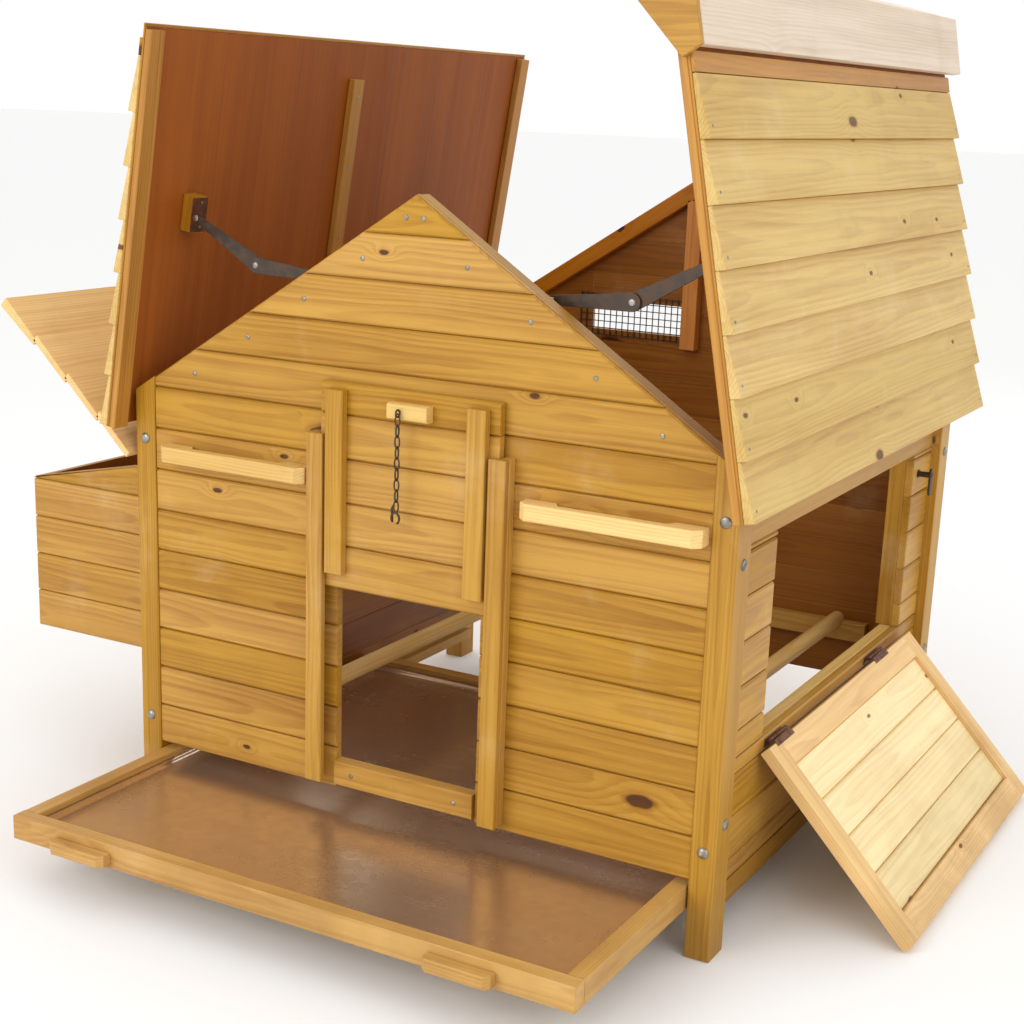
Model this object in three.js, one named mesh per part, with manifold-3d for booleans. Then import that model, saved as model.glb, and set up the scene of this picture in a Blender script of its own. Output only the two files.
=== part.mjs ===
// Timber chicken coop, opened for cleaning: both roof halves up, tray pulled out,
// side door dropped, nest lid raised and pop door lifted.  Millimetres, Z up.
import * as THREE from "three";
import { mergeVertices } from "three/addons/utils/BufferGeometryUtils.js";
import Module from "manifold-3d";

const wasm = await Module();
wasm.setup();

// ---- driving dimensions ------------------------------------------------------------------
const WIDTH = 1000;            // over the posts, left to right
const DEPTH = 1000;            // over the posts, front to back
const POST_W = 37;             // post face seen from the front
const POST_D = 52;             // post face seen from the side
const BOARD = 64.3;            // cover width of one wall board
const EAVE_SEAM = 691;         // board seam that runs post to post under the gable
const APEX = 1005;             // top of the gable
const EAVE = 684;              // gable line at the outer face of the post
const FRONT_FACE = 3;          // wall boards stand back from the post faces
const WALL_T = 14;             // wall board thickness
const SIDE_FACE = 484;         // outer face of the side walls, from the middle
const GROOVE = 2.2;            // depth and half width of the board joint
const GAP = 0.3;               // clearance between touching pieces

const HOLE_L = -122;           // pop hole
const HOLE_R = 122;
const HOLE_SILL = 160;
const POP_L = -143;            // pop door panel, raised
const POP_R = 153;
const POP_MID = 5;
const POP_LOW = 433;
const POP_HIGH = 737;

const PERCH_LEFT = -235;
const PERCH_RIGHT = 330;
const PERCH_Z = 220;
const PERCH_R = 14;

const TRAY_HALF = 460;
const TRAY_LOW = 68;
const TRAY_HIGH = 104;
const TRAY_LONG = 930;
const TRAY_OUT = 328;          // how far the tray stands out of the front
const TRAY_RAIL = 25;

const DOOR_Y0 = 176;           // dropped side door
const DOOR_Y1 = 856;
const DOOR_TALL = 336;
const DOOR_T = 18;
const OPEN_Y0 = 192;           // opening the side door covers
const OPEN_Y1 = 846;
const OPEN_LOW = 265;
const OPEN_HIGH = 573;
const DOOR_PIN_X = 492;
const DOOR_PIN_Z = 260;
const DOOR_OPEN = 136.6;       // degrees from closed

const ROOF_OPEN_LEFT = 48.6;   // degrees from closed
const ROOF_OPEN_RIGHT = 46.1;
const ROOF_Y0 = -44;
const ROOF_Y1 = 1068;
const ROOF_LOW = -57;          // along the slope from the hinge line
const ROOF_HIGH = 540;
const LAP = 78.6;
const DECK_LOW = 8;            // underside of the deck above the roof line
const DECK_T = 3.5;
const BATTEN_W = 31;

const NEST_OUT = 770;
const NEST_Y0 = 52.3;
const NEST_Y1 = 745;
const NEST_LOW = 242;
const NEST_LIP = 501;
const BUTTON_Y = 875;           // turn button beside the side door
const BUTTON_Z = 535;
const LID_PIN_X = -496;
const LID_PIN_Z = 560;
const LID_LONG = 355;
const LID_SLOPE = 11.8;
const LID_OPEN = 51.8;         // degrees from closed
const LID_Y0 = -9;
const LID_Y1 = 765;

const STAY_LINK = 130;         // between pins of one stay link
const STAY_WALL_LEFT = [186, 872];   // pin on the front gable, x and z
const STAY_WALL_RIGHT = [174, 872];
const STAY_ROOF = [267, -30];  // pin on the roof, along and under the slope

const rad = (d) => (d * Math.PI) / 180;
const SLOPE = Math.atan2(APEX - EAVE, WIDTH / 2);
const gableAt = (x) => APEX - Math.abs(x) * Math.tan(SLOPE);

// ---- colours -----------------------------------------------------------------------------
const PINE = 0xcf9a45;
const PALE = 0xe0b978;
const LAPS = 0xd8a860;
const PLY = 0x8a4a22;
const STEEL = 0x3a3a3d;
const ZINC = 0xa9a49b;

const group = new THREE.Group();
group.name = "chicken_coop";

function add(name, geometry, colour, roughness = 0.7, metalness = 0) {
  const material = new THREE.MeshStandardMaterial({ color: colour, roughness, metalness });
  material.name = name + "_material";
  const mesh = new THREE.Mesh(geometry, material);
  mesh.name = name;
  group.add(mesh);
  return mesh;
}

// ---- shapes ------------------------------------------------------------------------------
function bare(geometry) {
  const g = geometry.index ? geometry.toNonIndexed() : geometry.clone();
  for (const key of Object.keys(g.attributes)) if (key !== "position") g.deleteAttribute(key);
  return mergeVertices(g, 1e-4);
}

function solid(geometry) {
  const g = bare(geometry);
  return new wasm.Manifold(new wasm.Mesh({
    numProp: 3,
    vertProperties: new Float32Array(g.attributes.position.array),
    triVerts: new Uint32Array(g.index.array),
  }));
}

function surface(manifold) {
  const mesh = manifold.getMesh();
  const g = new THREE.BufferGeometry();
  g.setAttribute("position", new THREE.BufferAttribute(new Float32Array(mesh.vertProperties), 3));
  g.setIndex(new THREE.BufferAttribute(new Uint32Array(mesh.triVerts), 1));
  const flat = g.toNonIndexed();
  flat.computeVertexNormals();
  return flat;
}

const join = (...parts) => surface(parts.map(solid).reduce((a, b) => a.add(b)));
const meet = (a, b) => surface(solid(a).intersect(solid(b)));
const carve = (a, ...tools) => surface(tools.map(solid).reduce((s, t) => s.subtract(t), solid(a)));

function box(x0, x1, y0, y1, z0, z1) {
  const g = new THREE.BoxGeometry(x1 - x0, y1 - y0, z1 - z0);
  return g.translate((x0 + x1) / 2, (y0 + y1) / 2, (z0 + z1) / 2);
}

// Outline extruded along an axis.  x: outline in (y, z); y: outline in (x, z); z: outline in (x, y).
function prism(points, axis, from, to, holes = []) {
  const shape = new THREE.Shape(points.map(([u, v]) => new THREE.Vector2(u, v)));
  for (const h of holes) shape.holes.push(new THREE.Path(h.map(([u, v]) => new THREE.Vector2(u, v))));
  const g = new THREE.ExtrudeGeometry(shape, { depth: to - from, bevelEnabled: false });
  const X = new THREE.Vector3(1, 0, 0), Y = new THREE.Vector3(0, 1, 0), Z = new THREE.Vector3(0, 0, 1);
  const m = new THREE.Matrix4();
  if (axis === "x") m.makeBasis(Y, Z, X).setPosition(from, 0, 0);
  if (axis === "y") m.makeBasis(X, Z, Y.clone().negate()).setPosition(0, to, 0);
  if (axis === "z") m.makeBasis(X, Y, Z).setPosition(0, 0, from);
  return g.applyMatrix4(m);
}

// Wall of level boards: a flat back and a face with a V joint at every seam.
// outward is the sign of the face direction; depth runs from the face inward.
function boardOutline(face, outward, thick, low, high, seams) {
  const pts = [[face, low]];
  for (const z of seams.filter((s) => s > low + 8 && s < high - 8)) {
    pts.push([face, z - GROOVE], [face - outward * GROOVE, z], [face, z + GROOVE]);
  }
  pts.push([face, high], [face - outward * thick, high], [face - outward * thick, low]);
  return pts;
}

const SEAMS = Array.from({ length: 14 }, (_, k) => EAVE_SEAM - 9 * BOARD + k * BOARD);

function frontBoards(x0, x1, z0, z1) {
  return prism(boardOutline(FRONT_FACE, -1, WALL_T, z0, z1, SEAMS), "x", x0, x1);
}

function backBoards(x0, x1, z0, z1) {
  return prism(boardOutline(DEPTH - FRONT_FACE, 1, WALL_T, z0, z1, SEAMS), "x", x0, x1);
}

function sideBoards(side, y0, y1, z0, z1) {
  const pts = boardOutline(side * SIDE_FACE, side, WALL_T, z0, z1, SEAMS);
  return prism(pts, "y", y0, y1);
}

const roofTurn = (side) => rad(side < 0 ? ROOF_OPEN_LEFT : ROOF_OPEN_RIGHT);
const stayWall = (side) => (side < 0 ? STAY_WALL_LEFT : STAY_WALL_RIGHT);

// Turn a closed-pose piece about a front-to-back hinge line into the pose it rests in.
function swing(geometry, angle, pinX, pinZ) {
  return geometry.translate(-pinX, 0, -pinZ).rotateY(angle).translate(pinX, 0, pinZ);
}

// Point on the closed roof: r up the slope from the hinge line, n out of it.
function roofPoint(side, r, n) {
  const x = WIDTH / 2 - r * Math.cos(SLOPE) + n * Math.sin(SLOPE);
  return [side * x, EAVE + r * Math.sin(SLOPE) + n * Math.cos(SLOPE)];
}

function roofPiece(side, outline, y0, y1) {
  const pts = outline.map(([r, n]) => roofPoint(side, r, n));
  return swing(prism(pts, "y", y0, y1), side * roofTurn(side), (side * WIDTH) / 2, EAVE);
}

function perchSlot(x, y) {
  const slot = new THREE.CylinderGeometry(PERCH_R + 0.5, PERCH_R + 0.5, 80, 24);
  return slot.translate(x, y, PERCH_Z);
}

// ---- posts -------------------------------------------------------------------------------
function posts() {
  for (const [side, lr] of [[-1, "left"], [1, "right"]]) {
    for (const [y0, fb] of [[0, "front"], [DEPTH - POST_D, "back"]]) {
      const out = (side * WIDTH) / 2, inn = side * (WIDTH / 2 - POST_W);
      const pts = [[out, 0], [inn, 0], [inn, gableAt(inn) - 0.8], [out, gableAt(out) - 0.8]];
      add(`post_${fb}_${lr}`, prism(pts, "y", y0, y0 + POST_D), PINE);
    }
  }
}

// ---- front wall with the pop hole ----------------------------------------------------------
function gableOutline(low) {
  const e = WIDTH / 2 - POST_W - GAP;
  return [[-e, low], [e, low], [e, gableAt(e) - 0.8], [0, APEX - 0.8], [-e, gableAt(e) - 0.8]];
}

function frontWall() {
  const e = WIDTH / 2 - POST_W - GAP;
  const low = SEAMS[0], head = SEAMS[5];
  // a notched block nailed inside each lower panel carries the front end of a perch
  const back = FRONT_FACE + WALL_T;
  const rest = (x) => carve(box(x - 60, x + 60, back - 0.5, back + 20, PERCH_Z - 34, PERCH_Z),
    box(x - PERCH_R - 0.6, x + PERCH_R + 0.6, back, back + 40, PERCH_Z - PERCH_R - 0.6, 999));
  add("front_wall_left", join(frontBoards(-e, HOLE_L, low, head - GAP), rest(PERCH_LEFT)), PINE);
  add("front_wall_right", join(frontBoards(HOLE_R, e, low, head - GAP), rest(PERCH_RIGHT)), PINE);
  const whole = frontBoards(-e, e, head, APEX);
  add("front_wall_upper", meet(whole, prism(gableOutline(head - 1), "y", -20, 40)), PINE);
  const sill = box(HOLE_L + GAP, HOLE_R - GAP, -9, FRONT_FACE + WALL_T, low, HOLE_SILL);
  add("pop_hole_sill", sill, PALE);
}

function popGuides() {
  for (const [side, lr, low] of [[-1, "left", 128], [1, "right", 124]]) {
    const at = (d) => POP_MID + side * d;
    const pts = [[at(165), 2.7], [at(150), 2.7], [at(150), -14], [at(137), -14],
      [at(137), -25], [at(165), -25]];
    add(`pop_guide_${lr}`, prism(pts, "z", low, 662), PINE);
  }
}

function grabHandles() {
  for (const [x0, x1, z, lr] of [[-434, -166, 595, "left"], [191, 459, 597, "right"]]) {
    const y0 = FRONT_FACE - GAP, foot = 44, cut = 12;
    const pts = [[x0, y0], [x0 + foot, y0], [x0 + foot + 8, -12], [x1 - foot - 8, -12],
      [x1 - foot, y0], [x1, y0], [x1, -20], [x1 - cut, -31], [x0 + cut, -31], [x0, -20]];
    add(`grab_handle_${lr}`, prism(pts, "z", z - 12, z + 12), PALE);
  }
}

// ---- rafters inside the front gable, each with the lug its stay is pinned to ---------------
function frontRafters() {
  for (const [side, lr] of [[-1, "left"], [1, "right"]]) {
    const e = WIDTH / 2 - POST_W - GAP, y0 = FRONT_FACE + WALL_T + GAP;
    const pts = [[side * e, gableAt(e) - 1], [side * 0.4, APEX - 1.2], [side * 0.4, APEX - 36],
      [side * e, gableAt(e) - 34]];
    const [px, pz] = stayWall(side);
    const lug = box(side * px - 15, side * px + 15, y0 + 20, 58, pz - 13, pz + 5);
    add(`rafter_front_${lr}`, join(prism(pts, "y", y0, y0 + 22), lug), PINE);
  }
}

// ---- back wall with its vent ---------------------------------------------------------------
function backWall() {
  const e = WIDTH / 2 - POST_W - GAP, inner = DEPTH - FRONT_FACE - WALL_T;
  add("back_wall_lower", backBoards(-e, e, SEAMS[0], EAVE_SEAM - GAP), PINE);
  const face = meet(backBoards(-e, e, EAVE_SEAM, APEX),
    prism(gableOutline(EAVE_SEAM - 1), "y", DEPTH - 60, DEPTH + 20));
  const gable = carve(face, box(-211, -16, DEPTH - 60, DEPTH + 20, 712, 768));
  const chevron = [[-e, gableAt(e) - 1], [0, APEX - 1.2], [e, gableAt(e) - 1],
    [e, gableAt(e) - 34], [0, APEX - 36], [-e, gableAt(e) - 34]];
  const rafters = prism(chevron, "y", inner - 22, inner - GAP);
  const key = meet(prism(chevron, "y", inner - 1, inner + 0.5),
    box(-e, e, inner - 2, inner + 2, EAVE_SEAM + 1, APEX));
  const batten = box(-15, 15, inner - 22, inner + 0.5, EAVE_SEAM + 1, APEX - 30);
  add("back_wall_gable", join(gable, rafters, key, batten), PINE);

  // welded mesh stapled inside the vent: upright wires in front of level ones
  const wires = [];
  for (let i = 0; i <= 17; i++) {
    const x = -234 + i * 12.7;
    wires.push(box(x, x + 1.6, inner - 3.8, inner - 2.3, 700, 781));
  }
  for (let j = 0; j <= 6; j++) {
    const z = 701.3 + j * 12.8;
    wires.push(box(-235, -15.6, inner - 2.8, inner - 1.3, z, z + 1.6));
  }
  add("vent_mesh", join(...wires), STEEL, 0.5, 0.6);
}

// ---- side walls ----------------------------------------------------------------------------
function sideWalls() {
  const y0 = POST_D + GAP, y1 = DEPTH - POST_D - GAP, s = SIDE_FACE, t = WALL_T;
  const beam = (side) => prism([[side * (s - 21), OPEN_HIGH], [side * s, OPEN_HIGH],
    [side * s, gableAt(s) - 1], [side * (s - 21), gableAt(s - 21) - 1]], "y", y0, y1);
  add("side_beam_right", beam(1), PINE);
  add("side_beam_left", beam(-1), PINE);
  add("side_wall_right_front", sideBoards(1, y0, OPEN_Y0, OPEN_LOW, OPEN_HIGH - GAP), PINE);
  add("side_wall_right_back", join(sideBoards(1, OPEN_Y1, y1, OPEN_LOW, OPEN_HIGH - GAP),
    box(s - t - 28, s - t + 0.5, OPEN_Y1, OPEN_Y1 + 22, OPEN_LOW, OPEN_HIGH - GAP)), PINE);
  add("side_wall_right_lower", join(sideBoards(1, y0, y1, 82, OPEN_LOW - GAP),
    box(s - 34, s - t + 0.5, y0, y1, OPEN_LOW - 19, OPEN_LOW - GAP)), PINE);
  add("side_wall_left_lower", sideBoards(-1, y0, y1, 82, NEST_LOW - GAP), PINE);
  add("side_wall_left_back", sideBoards(-1, NEST_Y1 + GAP, y1, NEST_LOW, OPEN_HIGH - GAP), PINE);
}

// ---- nest box ------------------------------------------------------------------------------
function nestBox() {
  const s = SIDE_FACE, wallTop = NEST_LIP + (NEST_OUT - s) * Math.tan(rad(LID_SLOPE));
  const inn = s - WALL_T, ledge = OPEN_HIGH - GAP;
  const side = [[-NEST_OUT, NEST_LOW], [-inn, NEST_LOW], [-inn, ledge], [-s + GAP, ledge],
    [-s + GAP, wallTop], [-NEST_OUT, NEST_LIP]];
  add("nest_end_front", prism(side, "y", NEST_Y0, NEST_Y0 + 14), PINE);
  add("nest_end_back", prism(side, "y", NEST_Y1 - 14, NEST_Y1), PINE);
  const y0 = NEST_Y0 + 14 + GAP, y1 = NEST_Y1 - 14 - GAP;
  const dx = 14 * Math.tan(rad(LID_SLOPE));
  const out = boardOutline(-NEST_OUT, -1, 14, NEST_LOW, NEST_LIP, SEAMS);
  out[out.length - 2][1] += dx;
  add("nest_outer_wall", prism(out, "y", y0, y1), PINE);
  add("nest_floor", box(-NEST_OUT + 14 + GAP, -inn, y0, y1, NEST_LOW, NEST_LOW + 12), PINE);
  const roof = [[-NEST_OUT + 14 + GAP, NEST_LOW + 12 + GAP], [-s, NEST_LOW + 12 + GAP],
    [-s, wallTop - 1], [-NEST_OUT + 14 + GAP, NEST_LIP + dx - 0.8]];
  const mid = (y0 + y1) / 2;
  add("nest_divider", prism(roof, "y", mid - 6, mid + 6), PINE);

  const a = rad(LID_SLOPE);
  const at = (r, n) => [LID_PIN_X - r * Math.cos(a) - n * Math.sin(a),
    LID_PIN_Z - r * Math.sin(a) + n * Math.cos(a)];
  const lap = (LID_LONG - 3) / 4;
  const lid = [at(3, 0), at(LID_LONG, 0), at(LID_LONG, 18)];
  for (let k = 1; k <= 4; k++) {
    lid.push(at(LID_LONG - k * lap, 11));
    if (k < 4) lid.push(at(LID_LONG - k * lap, 18));
  }
  // the lid reaches past the post, so its hinge edge is cut back beside the post
  const flap = carve(prism(lid, "y", LID_Y0, LID_Y1), box(-519.5, -400, -20, POST_D + 2, 400, 700));
  add("nest_lid", swing(flap, rad(LID_OPEN), LID_PIN_X, LID_PIN_Z), LAPS);
}

// ---- inside --------------------------------------------------------------------------------
function inside() {
  for (const [side, lr] of [[-1, "left"], [1, "right"]]) {
    const pts = [[440, 48], [484, 48], [484, 81.7], [470, 81.7], [470, 67.7], [440, 67.7]];
    const rail = prism(pts.map(([x, z]) => [side * x, z]), "y", POST_D + GAP, DEPTH - POST_D - GAP);
    add(`tray_runner_${lr}`, rail, PINE);
  }
  const y1 = DEPTH - FRONT_FACE - WALL_T;
  for (const [side, lr] of [[-1, "left"], [1, "right"]]) {
    const y0 = FRONT_FACE + WALL_T + 0.6, x = side < 0 ? PERCH_LEFT : PERCH_RIGHT;
    const bar = new THREE.CylinderGeometry(PERCH_R, PERCH_R, y1 - y0 - 0.6, 24);
    add(`perch_${lr}`, bar.translate(x, (y0 + y1) / 2, PERCH_Z), PALE);
  }
  const board = box(PERCH_LEFT - 60, PERCH_RIGHT + 60, y1 - 20, y1 - GAP, PERCH_Z - 34, PERCH_Z);
  add("perch_rest_back", carve(board, perchSlot(PERCH_LEFT, y1), perchSlot(PERCH_RIGHT, y1)), PINE);
}

// ---- droppings tray ------------------------------------------------------------------------
function tray() {
  const w = TRAY_HALF, y0 = -TRAY_OUT, y1 = y0 + TRAY_LONG, r = TRAY_RAIL;
  const rail = box(-w, w, y0, y0 + r, TRAY_LOW, TRAY_HIGH);
  const pull = (x) => prism([[x - 50, y0 + 0.5], [x + 50, y0 + 0.5], [x + 50, y0 - 14],
    [x + 42, y0 - 21], [x - 42, y0 - 21], [x - 50, y0 - 14]], "z", 74, 92);
  add("tray_front_rail", join(rail, pull(-325), pull(300)), PINE);
  add("tray_back_rail", box(-w, w, y1 - r, y1, TRAY_LOW, TRAY_HIGH), PINE);
  add("tray_left_rail", box(-w, -w + r, y0 + r + GAP, y1 - r - GAP, TRAY_LOW, TRAY_HIGH), PINE);
  add("tray_right_rail", box(w - r, w, y0 + r + GAP, y1 - r - GAP, TRAY_LOW, TRAY_HIGH), PINE);
  add("tray_sheet", box(-w + r + GAP, w - r - GAP, y0 + r + GAP, y1 - r - GAP, 84, 86),
    ZINC, 0.35, 0.9);
}

// ---- roof halves ---------------------------------------------------------------------------
function roofHalf(side, lr) {
  const top = DECK_LOW + DECK_T, foot = top + GAP;
  const deck = [[ROOF_LOW, DECK_LOW], [ROOF_HIGH, DECK_LOW], [ROOF_HIGH, top], [ROOF_LOW, top]];
  const block = [[240, -17], [296, -17], [296, DECK_LOW + 0.2], [240, DECK_LOW + 0.2]];
  add(`roof_deck_${lr}`, join(roofPiece(side, deck, ROOF_Y0, ROOF_Y1),
    roofPiece(side, block, 76, 104)), PLY);
  const laps = [[ROOF_LOW, foot]];
  for (let k = 0; k < 7; k++) {
    laps.push([ROOF_LOW + k * LAP, 27], [ROOF_LOW + (k + 1) * LAP, 17]);
  }
  laps.push([519, 17], [519, foot]);
  add(`roof_cladding_${lr}`, roofPiece(side, laps, ROOF_Y0, ROOF_Y1), LAPS);
  const bars = [["front", ROOF_Y0, ROOF_Y0 + BATTEN_W], ["middle", 476, 506],
    ["back", ROOF_Y1 - BATTEN_W, ROOF_Y1]];
  for (const [fb, y0, y1] of bars) {
    const from = fb === "middle" ? 60 : ROOF_LOW, to = fb === "middle" ? 478 : ROOF_HIGH - 8;
    const bar = [[from, -4], [to, -4], [to, DECK_LOW - GAP], [from, DECK_LOW - GAP]];
    add(`roof_batten_${fb}_${lr}`, roofPiece(side, bar, y0, y1), PINE);
  }
}

// The ridge cap is two boards nailed in an inverted V; it travels with the right-hand half.
function ridgeCap() {
  const low = 18, high = 33, wing = 523;
  const top = (n) => [0, EAVE + (WIDTH / 2) * Math.tan(SLOPE) + n / Math.cos(SLOPE)];
  const pts = [roofPoint(1, wing, high), roofPoint(1, wing, low), top(low),
    roofPoint(-1, wing, low), roofPoint(-1, wing, high), top(high)];
  const cap = prism(pts, "y", ROOF_Y0 - 12, ROOF_Y1 + 21);
  add("ridge_cap", swing(cap, roofTurn(1), WIDTH / 2, EAVE), LAPS);
}

// ---- folding stays: one elbow stay holds each roof half ------------------------------------
function stayLink(ax, az, bx, bz, y0, y1, tail) {
  const d = new THREE.Vector2(bx - ax, bz - az).normalize();
  const n = new THREE.Vector2(-d.y, d.x);
  const pts = [];
  const ring = (cx, cz, r, from, to) => {
    for (let k = 0; k <= 8; k++) {
      const t = from + ((to - from) * k) / 8;
      pts.push([cx + r * (Math.cos(t) * d.x + Math.sin(t) * n.x),
        cz + r * (Math.cos(t) * d.y + Math.sin(t) * n.y)]);
    }
  };
  ring(bx, bz, 8.5, -Math.PI / 2, Math.PI / 2);
  ring(ax, az, tail, Math.PI / 2, (3 * Math.PI) / 2);
  return prism(pts, "y", y0, y1);
}

function stays() {
  for (const [side, lr] of [[-1, "left"], [1, "right"]]) {
    const [wx, wz] = stayWall(side);
    const a = SLOPE + roofTurn(side), [r, n] = STAY_ROOF;
    const px = WIDTH / 2 - r * Math.cos(a) + n * Math.sin(a);
    const pz = EAVE + r * Math.sin(a) + n * Math.cos(a);
    const dx = px - wx, dz = pz - wz, span = Math.hypot(dx, dz);
    const sag = Math.sqrt(STAY_LINK ** 2 - (span / 2) ** 2);
    const ex = (px + wx) / 2 + (dz / span) * sag, ez = (pz + wz) / 2 - (dx / span) * sag;
    add(`stay_upper_${lr}`, stayLink(side * px, pz, side * ex, ez, 64.5, 67, 6), STEEL, 0.4, 0.8);
    add(`stay_lower_${lr}`, stayLink(side * wx, wz, side * ex, ez, 61, 63.5, 6), STEEL, 0.4, 0.8);
  }
}

// ---- pop door, chain and hook --------------------------------------------------------------
function popDoor() {
  const panel = prism(boardOutline(-12, -1, 12, POP_LOW, POP_HIGH, SEAMS), "x", POP_L, POP_R);
  const battenL = box(-127, -97, -26, -11.5, 458, 728);
  const battenR = box(107, 137, -26, -11.5, 458, 727);
  const block = box(-20, 46, -30, -11.5, 698, 721);
  const eye = new THREE.TorusGeometry(5, 1.4, 8, 16).rotateY(Math.PI / 2).translate(2.5, -35.5, 709);
  add("pop_door", join(panel, battenL, battenR, block, eye), PINE);

  const links = [];
  for (let k = 0; k < 9; k++) {
    const ring = new THREE.TorusGeometry(5, 1.3, 6, 14).scale(0.75, 1.75, 1).rotateX(Math.PI / 2);
    if (k % 2) ring.rotateZ(Math.PI / 2);
    links.push(ring.translate(2.5, -35.5, 699.4 - k * 15.3));
  }
  add("pop_door_chain", join(...links), STEEL, 0.4, 0.8);
}

// ---- side door, hinged along its lower edge, and the button that keeps it shut --------------
function sideDoor() {
  const x0 = DOOR_PIN_X - 6, x1 = x0 + DOOR_T, z0 = DOOR_PIN_Z + 8, z1 = z0 + DOOR_TALL;
  const y0 = DOOR_Y0, y1 = DOOR_Y1, w = 40;
  const rim = [[y0, z0], [y1, z0], [y1, z1], [y0, z1]];
  const hole = [[y0 + w, z0 + w], [y0 + w, z1 - w], [y1 - w, z1 - w], [y1 - w, z0 + w]];
  const turn = (g) => swing(g, rad(DOOR_OPEN), DOOR_PIN_X, DOOR_PIN_Z);
  add("side_door_frame", turn(prism(rim, "x", x0, x1, [hole])), PINE);
  const low = z0 + w + GAP, high = z1 - w - GAP, board = (high - low) / 4;
  const seams = [1, 2, 3].map((k) => low + k * board);
  const face = prism(boardOutline(x0 + 7, -1, x1 - x0 - 7, low, high, seams), "y",
    y0 + w + GAP, y1 - w - GAP);
  add("side_door_boards", turn(face), LAPS);

  const arm = [[BUTTON_Y - 7, BUTTON_Z + 8], [BUTTON_Y - 7, BUTTON_Z - 30], [BUTTON_Y, BUTTON_Z - 36],
    [BUTTON_Y + 7, BUTTON_Z - 30], [BUTTON_Y + 7, BUTTON_Z + 8]];
  const stem = new THREE.CylinderGeometry(5, 5, 21, 20).rotateZ(Math.PI / 2);
  stem.translate(SIDE_FACE + GAP + 10.5, BUTTON_Y, BUTTON_Z);
  add("door_button", join(prism(arm, "x", 504.8, 508.8), stem), STEEL, 0.45, 0.7);
}

posts();
frontWall();
popGuides();
grabHandles();
frontRafters();
backWall();
sideWalls();
nestBox();
inside();
tray();
roofHalf(-1, "left");
roofHalf(1, "right");
ridgeCap();
stays();
popDoor();
sideDoor();

// Origin at the middle of the footprint, on the ground.
const bounds = new THREE.Box3().setFromObject(group);
const centre = bounds.getCenter(new THREE.Vector3());
for (const mesh of group.children) mesh.geometry.translate(-centre.x, -centre.y, -bounds.min.z);

export default group;
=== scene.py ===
import math

import bpy
import numpy as np
from mathutils import Matrix, Vector


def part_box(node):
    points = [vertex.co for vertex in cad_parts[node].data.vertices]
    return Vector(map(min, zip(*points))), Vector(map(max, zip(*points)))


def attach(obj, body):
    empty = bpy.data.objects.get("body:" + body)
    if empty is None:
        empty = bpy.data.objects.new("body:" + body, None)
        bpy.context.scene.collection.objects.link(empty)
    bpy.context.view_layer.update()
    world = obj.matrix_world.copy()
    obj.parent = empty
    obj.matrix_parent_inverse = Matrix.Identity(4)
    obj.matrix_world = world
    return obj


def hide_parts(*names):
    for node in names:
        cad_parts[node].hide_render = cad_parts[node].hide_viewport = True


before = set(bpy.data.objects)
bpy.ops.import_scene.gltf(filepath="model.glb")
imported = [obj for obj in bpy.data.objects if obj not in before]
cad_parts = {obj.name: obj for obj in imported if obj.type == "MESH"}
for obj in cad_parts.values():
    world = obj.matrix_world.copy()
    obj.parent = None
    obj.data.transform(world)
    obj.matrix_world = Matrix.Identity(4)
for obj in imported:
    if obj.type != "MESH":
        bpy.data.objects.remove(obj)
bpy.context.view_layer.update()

chance = np.random.default_rng(23)

# ---- Pine, as every stick and board of the coop is cut from it ----
# Soft knotty pine, planed and stained.  Each stick carries its own place in the log as an
# attribute, so the rings run along every board and no two boards show the same figure.


def node(tree, kind, inputs=(), **settings):
    """Add a node, set its properties, and feed its inputs from values or other sockets."""
    made = tree.nodes.new(kind)
    for key, value in settings.items():
        setattr(made, key, value)
    for key, value in dict(inputs).items():
        socket = made.inputs[key]
        if isinstance(value, bpy.types.NodeSocket):
            tree.links.new(value, socket)
        else:
            socket.default_value = value
    return made


def sums(tree, how, *terms, clamp=False):
    """One arithmetic step on one to three terms; returns its output socket."""
    return node(tree, "ShaderNodeMath", dict(enumerate(terms)), operation=how,
                use_clamp=clamp).outputs[0]


def blend_colour(tree, factor, a, b, how="MIX"):
    """Mix two colours by a factor; returns the colour socket."""
    return node(tree, "ShaderNodeMix", {0: factor, 6: a, 7: b}, data_type="RGBA",
                blend_type=how).outputs[2]


def fade(tree, value, low, high, to_low=0.0, to_high=1.0):
    """Smooth step of a value from one range into another."""
    made = node(tree, "ShaderNodeMapRange", {"From Min": low, "From Max": high,
                "To Min": to_low, "To Max": to_high, "Value": value},
                interpolation_type="SMOOTHSTEP")
    return made.outputs["Result"]


def stretched(tree, vector, scale):
    """The vector times a scale on each axis."""
    made = node(tree, "ShaderNodeVectorMath", {0: vector, 1: scale}, operation="MULTIPLY")
    return made.outputs[0]


def noise(tree, vector, scale, detail=3.0, rough=0.5, distort=0.0):
    """Smooth noise read at the vector, 0 to 1."""
    made = node(tree, "ShaderNodeTexNoise", {"Vector": vector, "Scale": scale, "Detail": detail,
                "Roughness": rough, "Distortion": distort})
    return made.outputs["Fac"]


def new_group(name, inputs, outputs):
    """An empty shader node group with named sockets; returns (tree, input node, output node)."""
    tree = bpy.data.node_groups.new(name, "ShaderNodeTree")
    for kind, label, default in inputs:
        socket = tree.interface.new_socket(name=label, in_out="INPUT", socket_type=kind)
        socket.default_value = default
    for kind, label in outputs:
        tree.interface.new_socket(name=label, in_out="OUTPUT", socket_type=kind)
    return tree, node(tree, "NodeGroupInput"), node(tree, "NodeGroupOutput")


def linear(red, green, blue):
    """A colour given as 0 to 255 on screen, as linear light."""
    c = np.array([red, green, blue]) / 255.0
    out = np.where(c <= 0.04045, c / 12.92, ((c + 0.055) / 1.055) ** 2.4)
    return (*[float(v) for v in out], 1.0)


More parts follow.
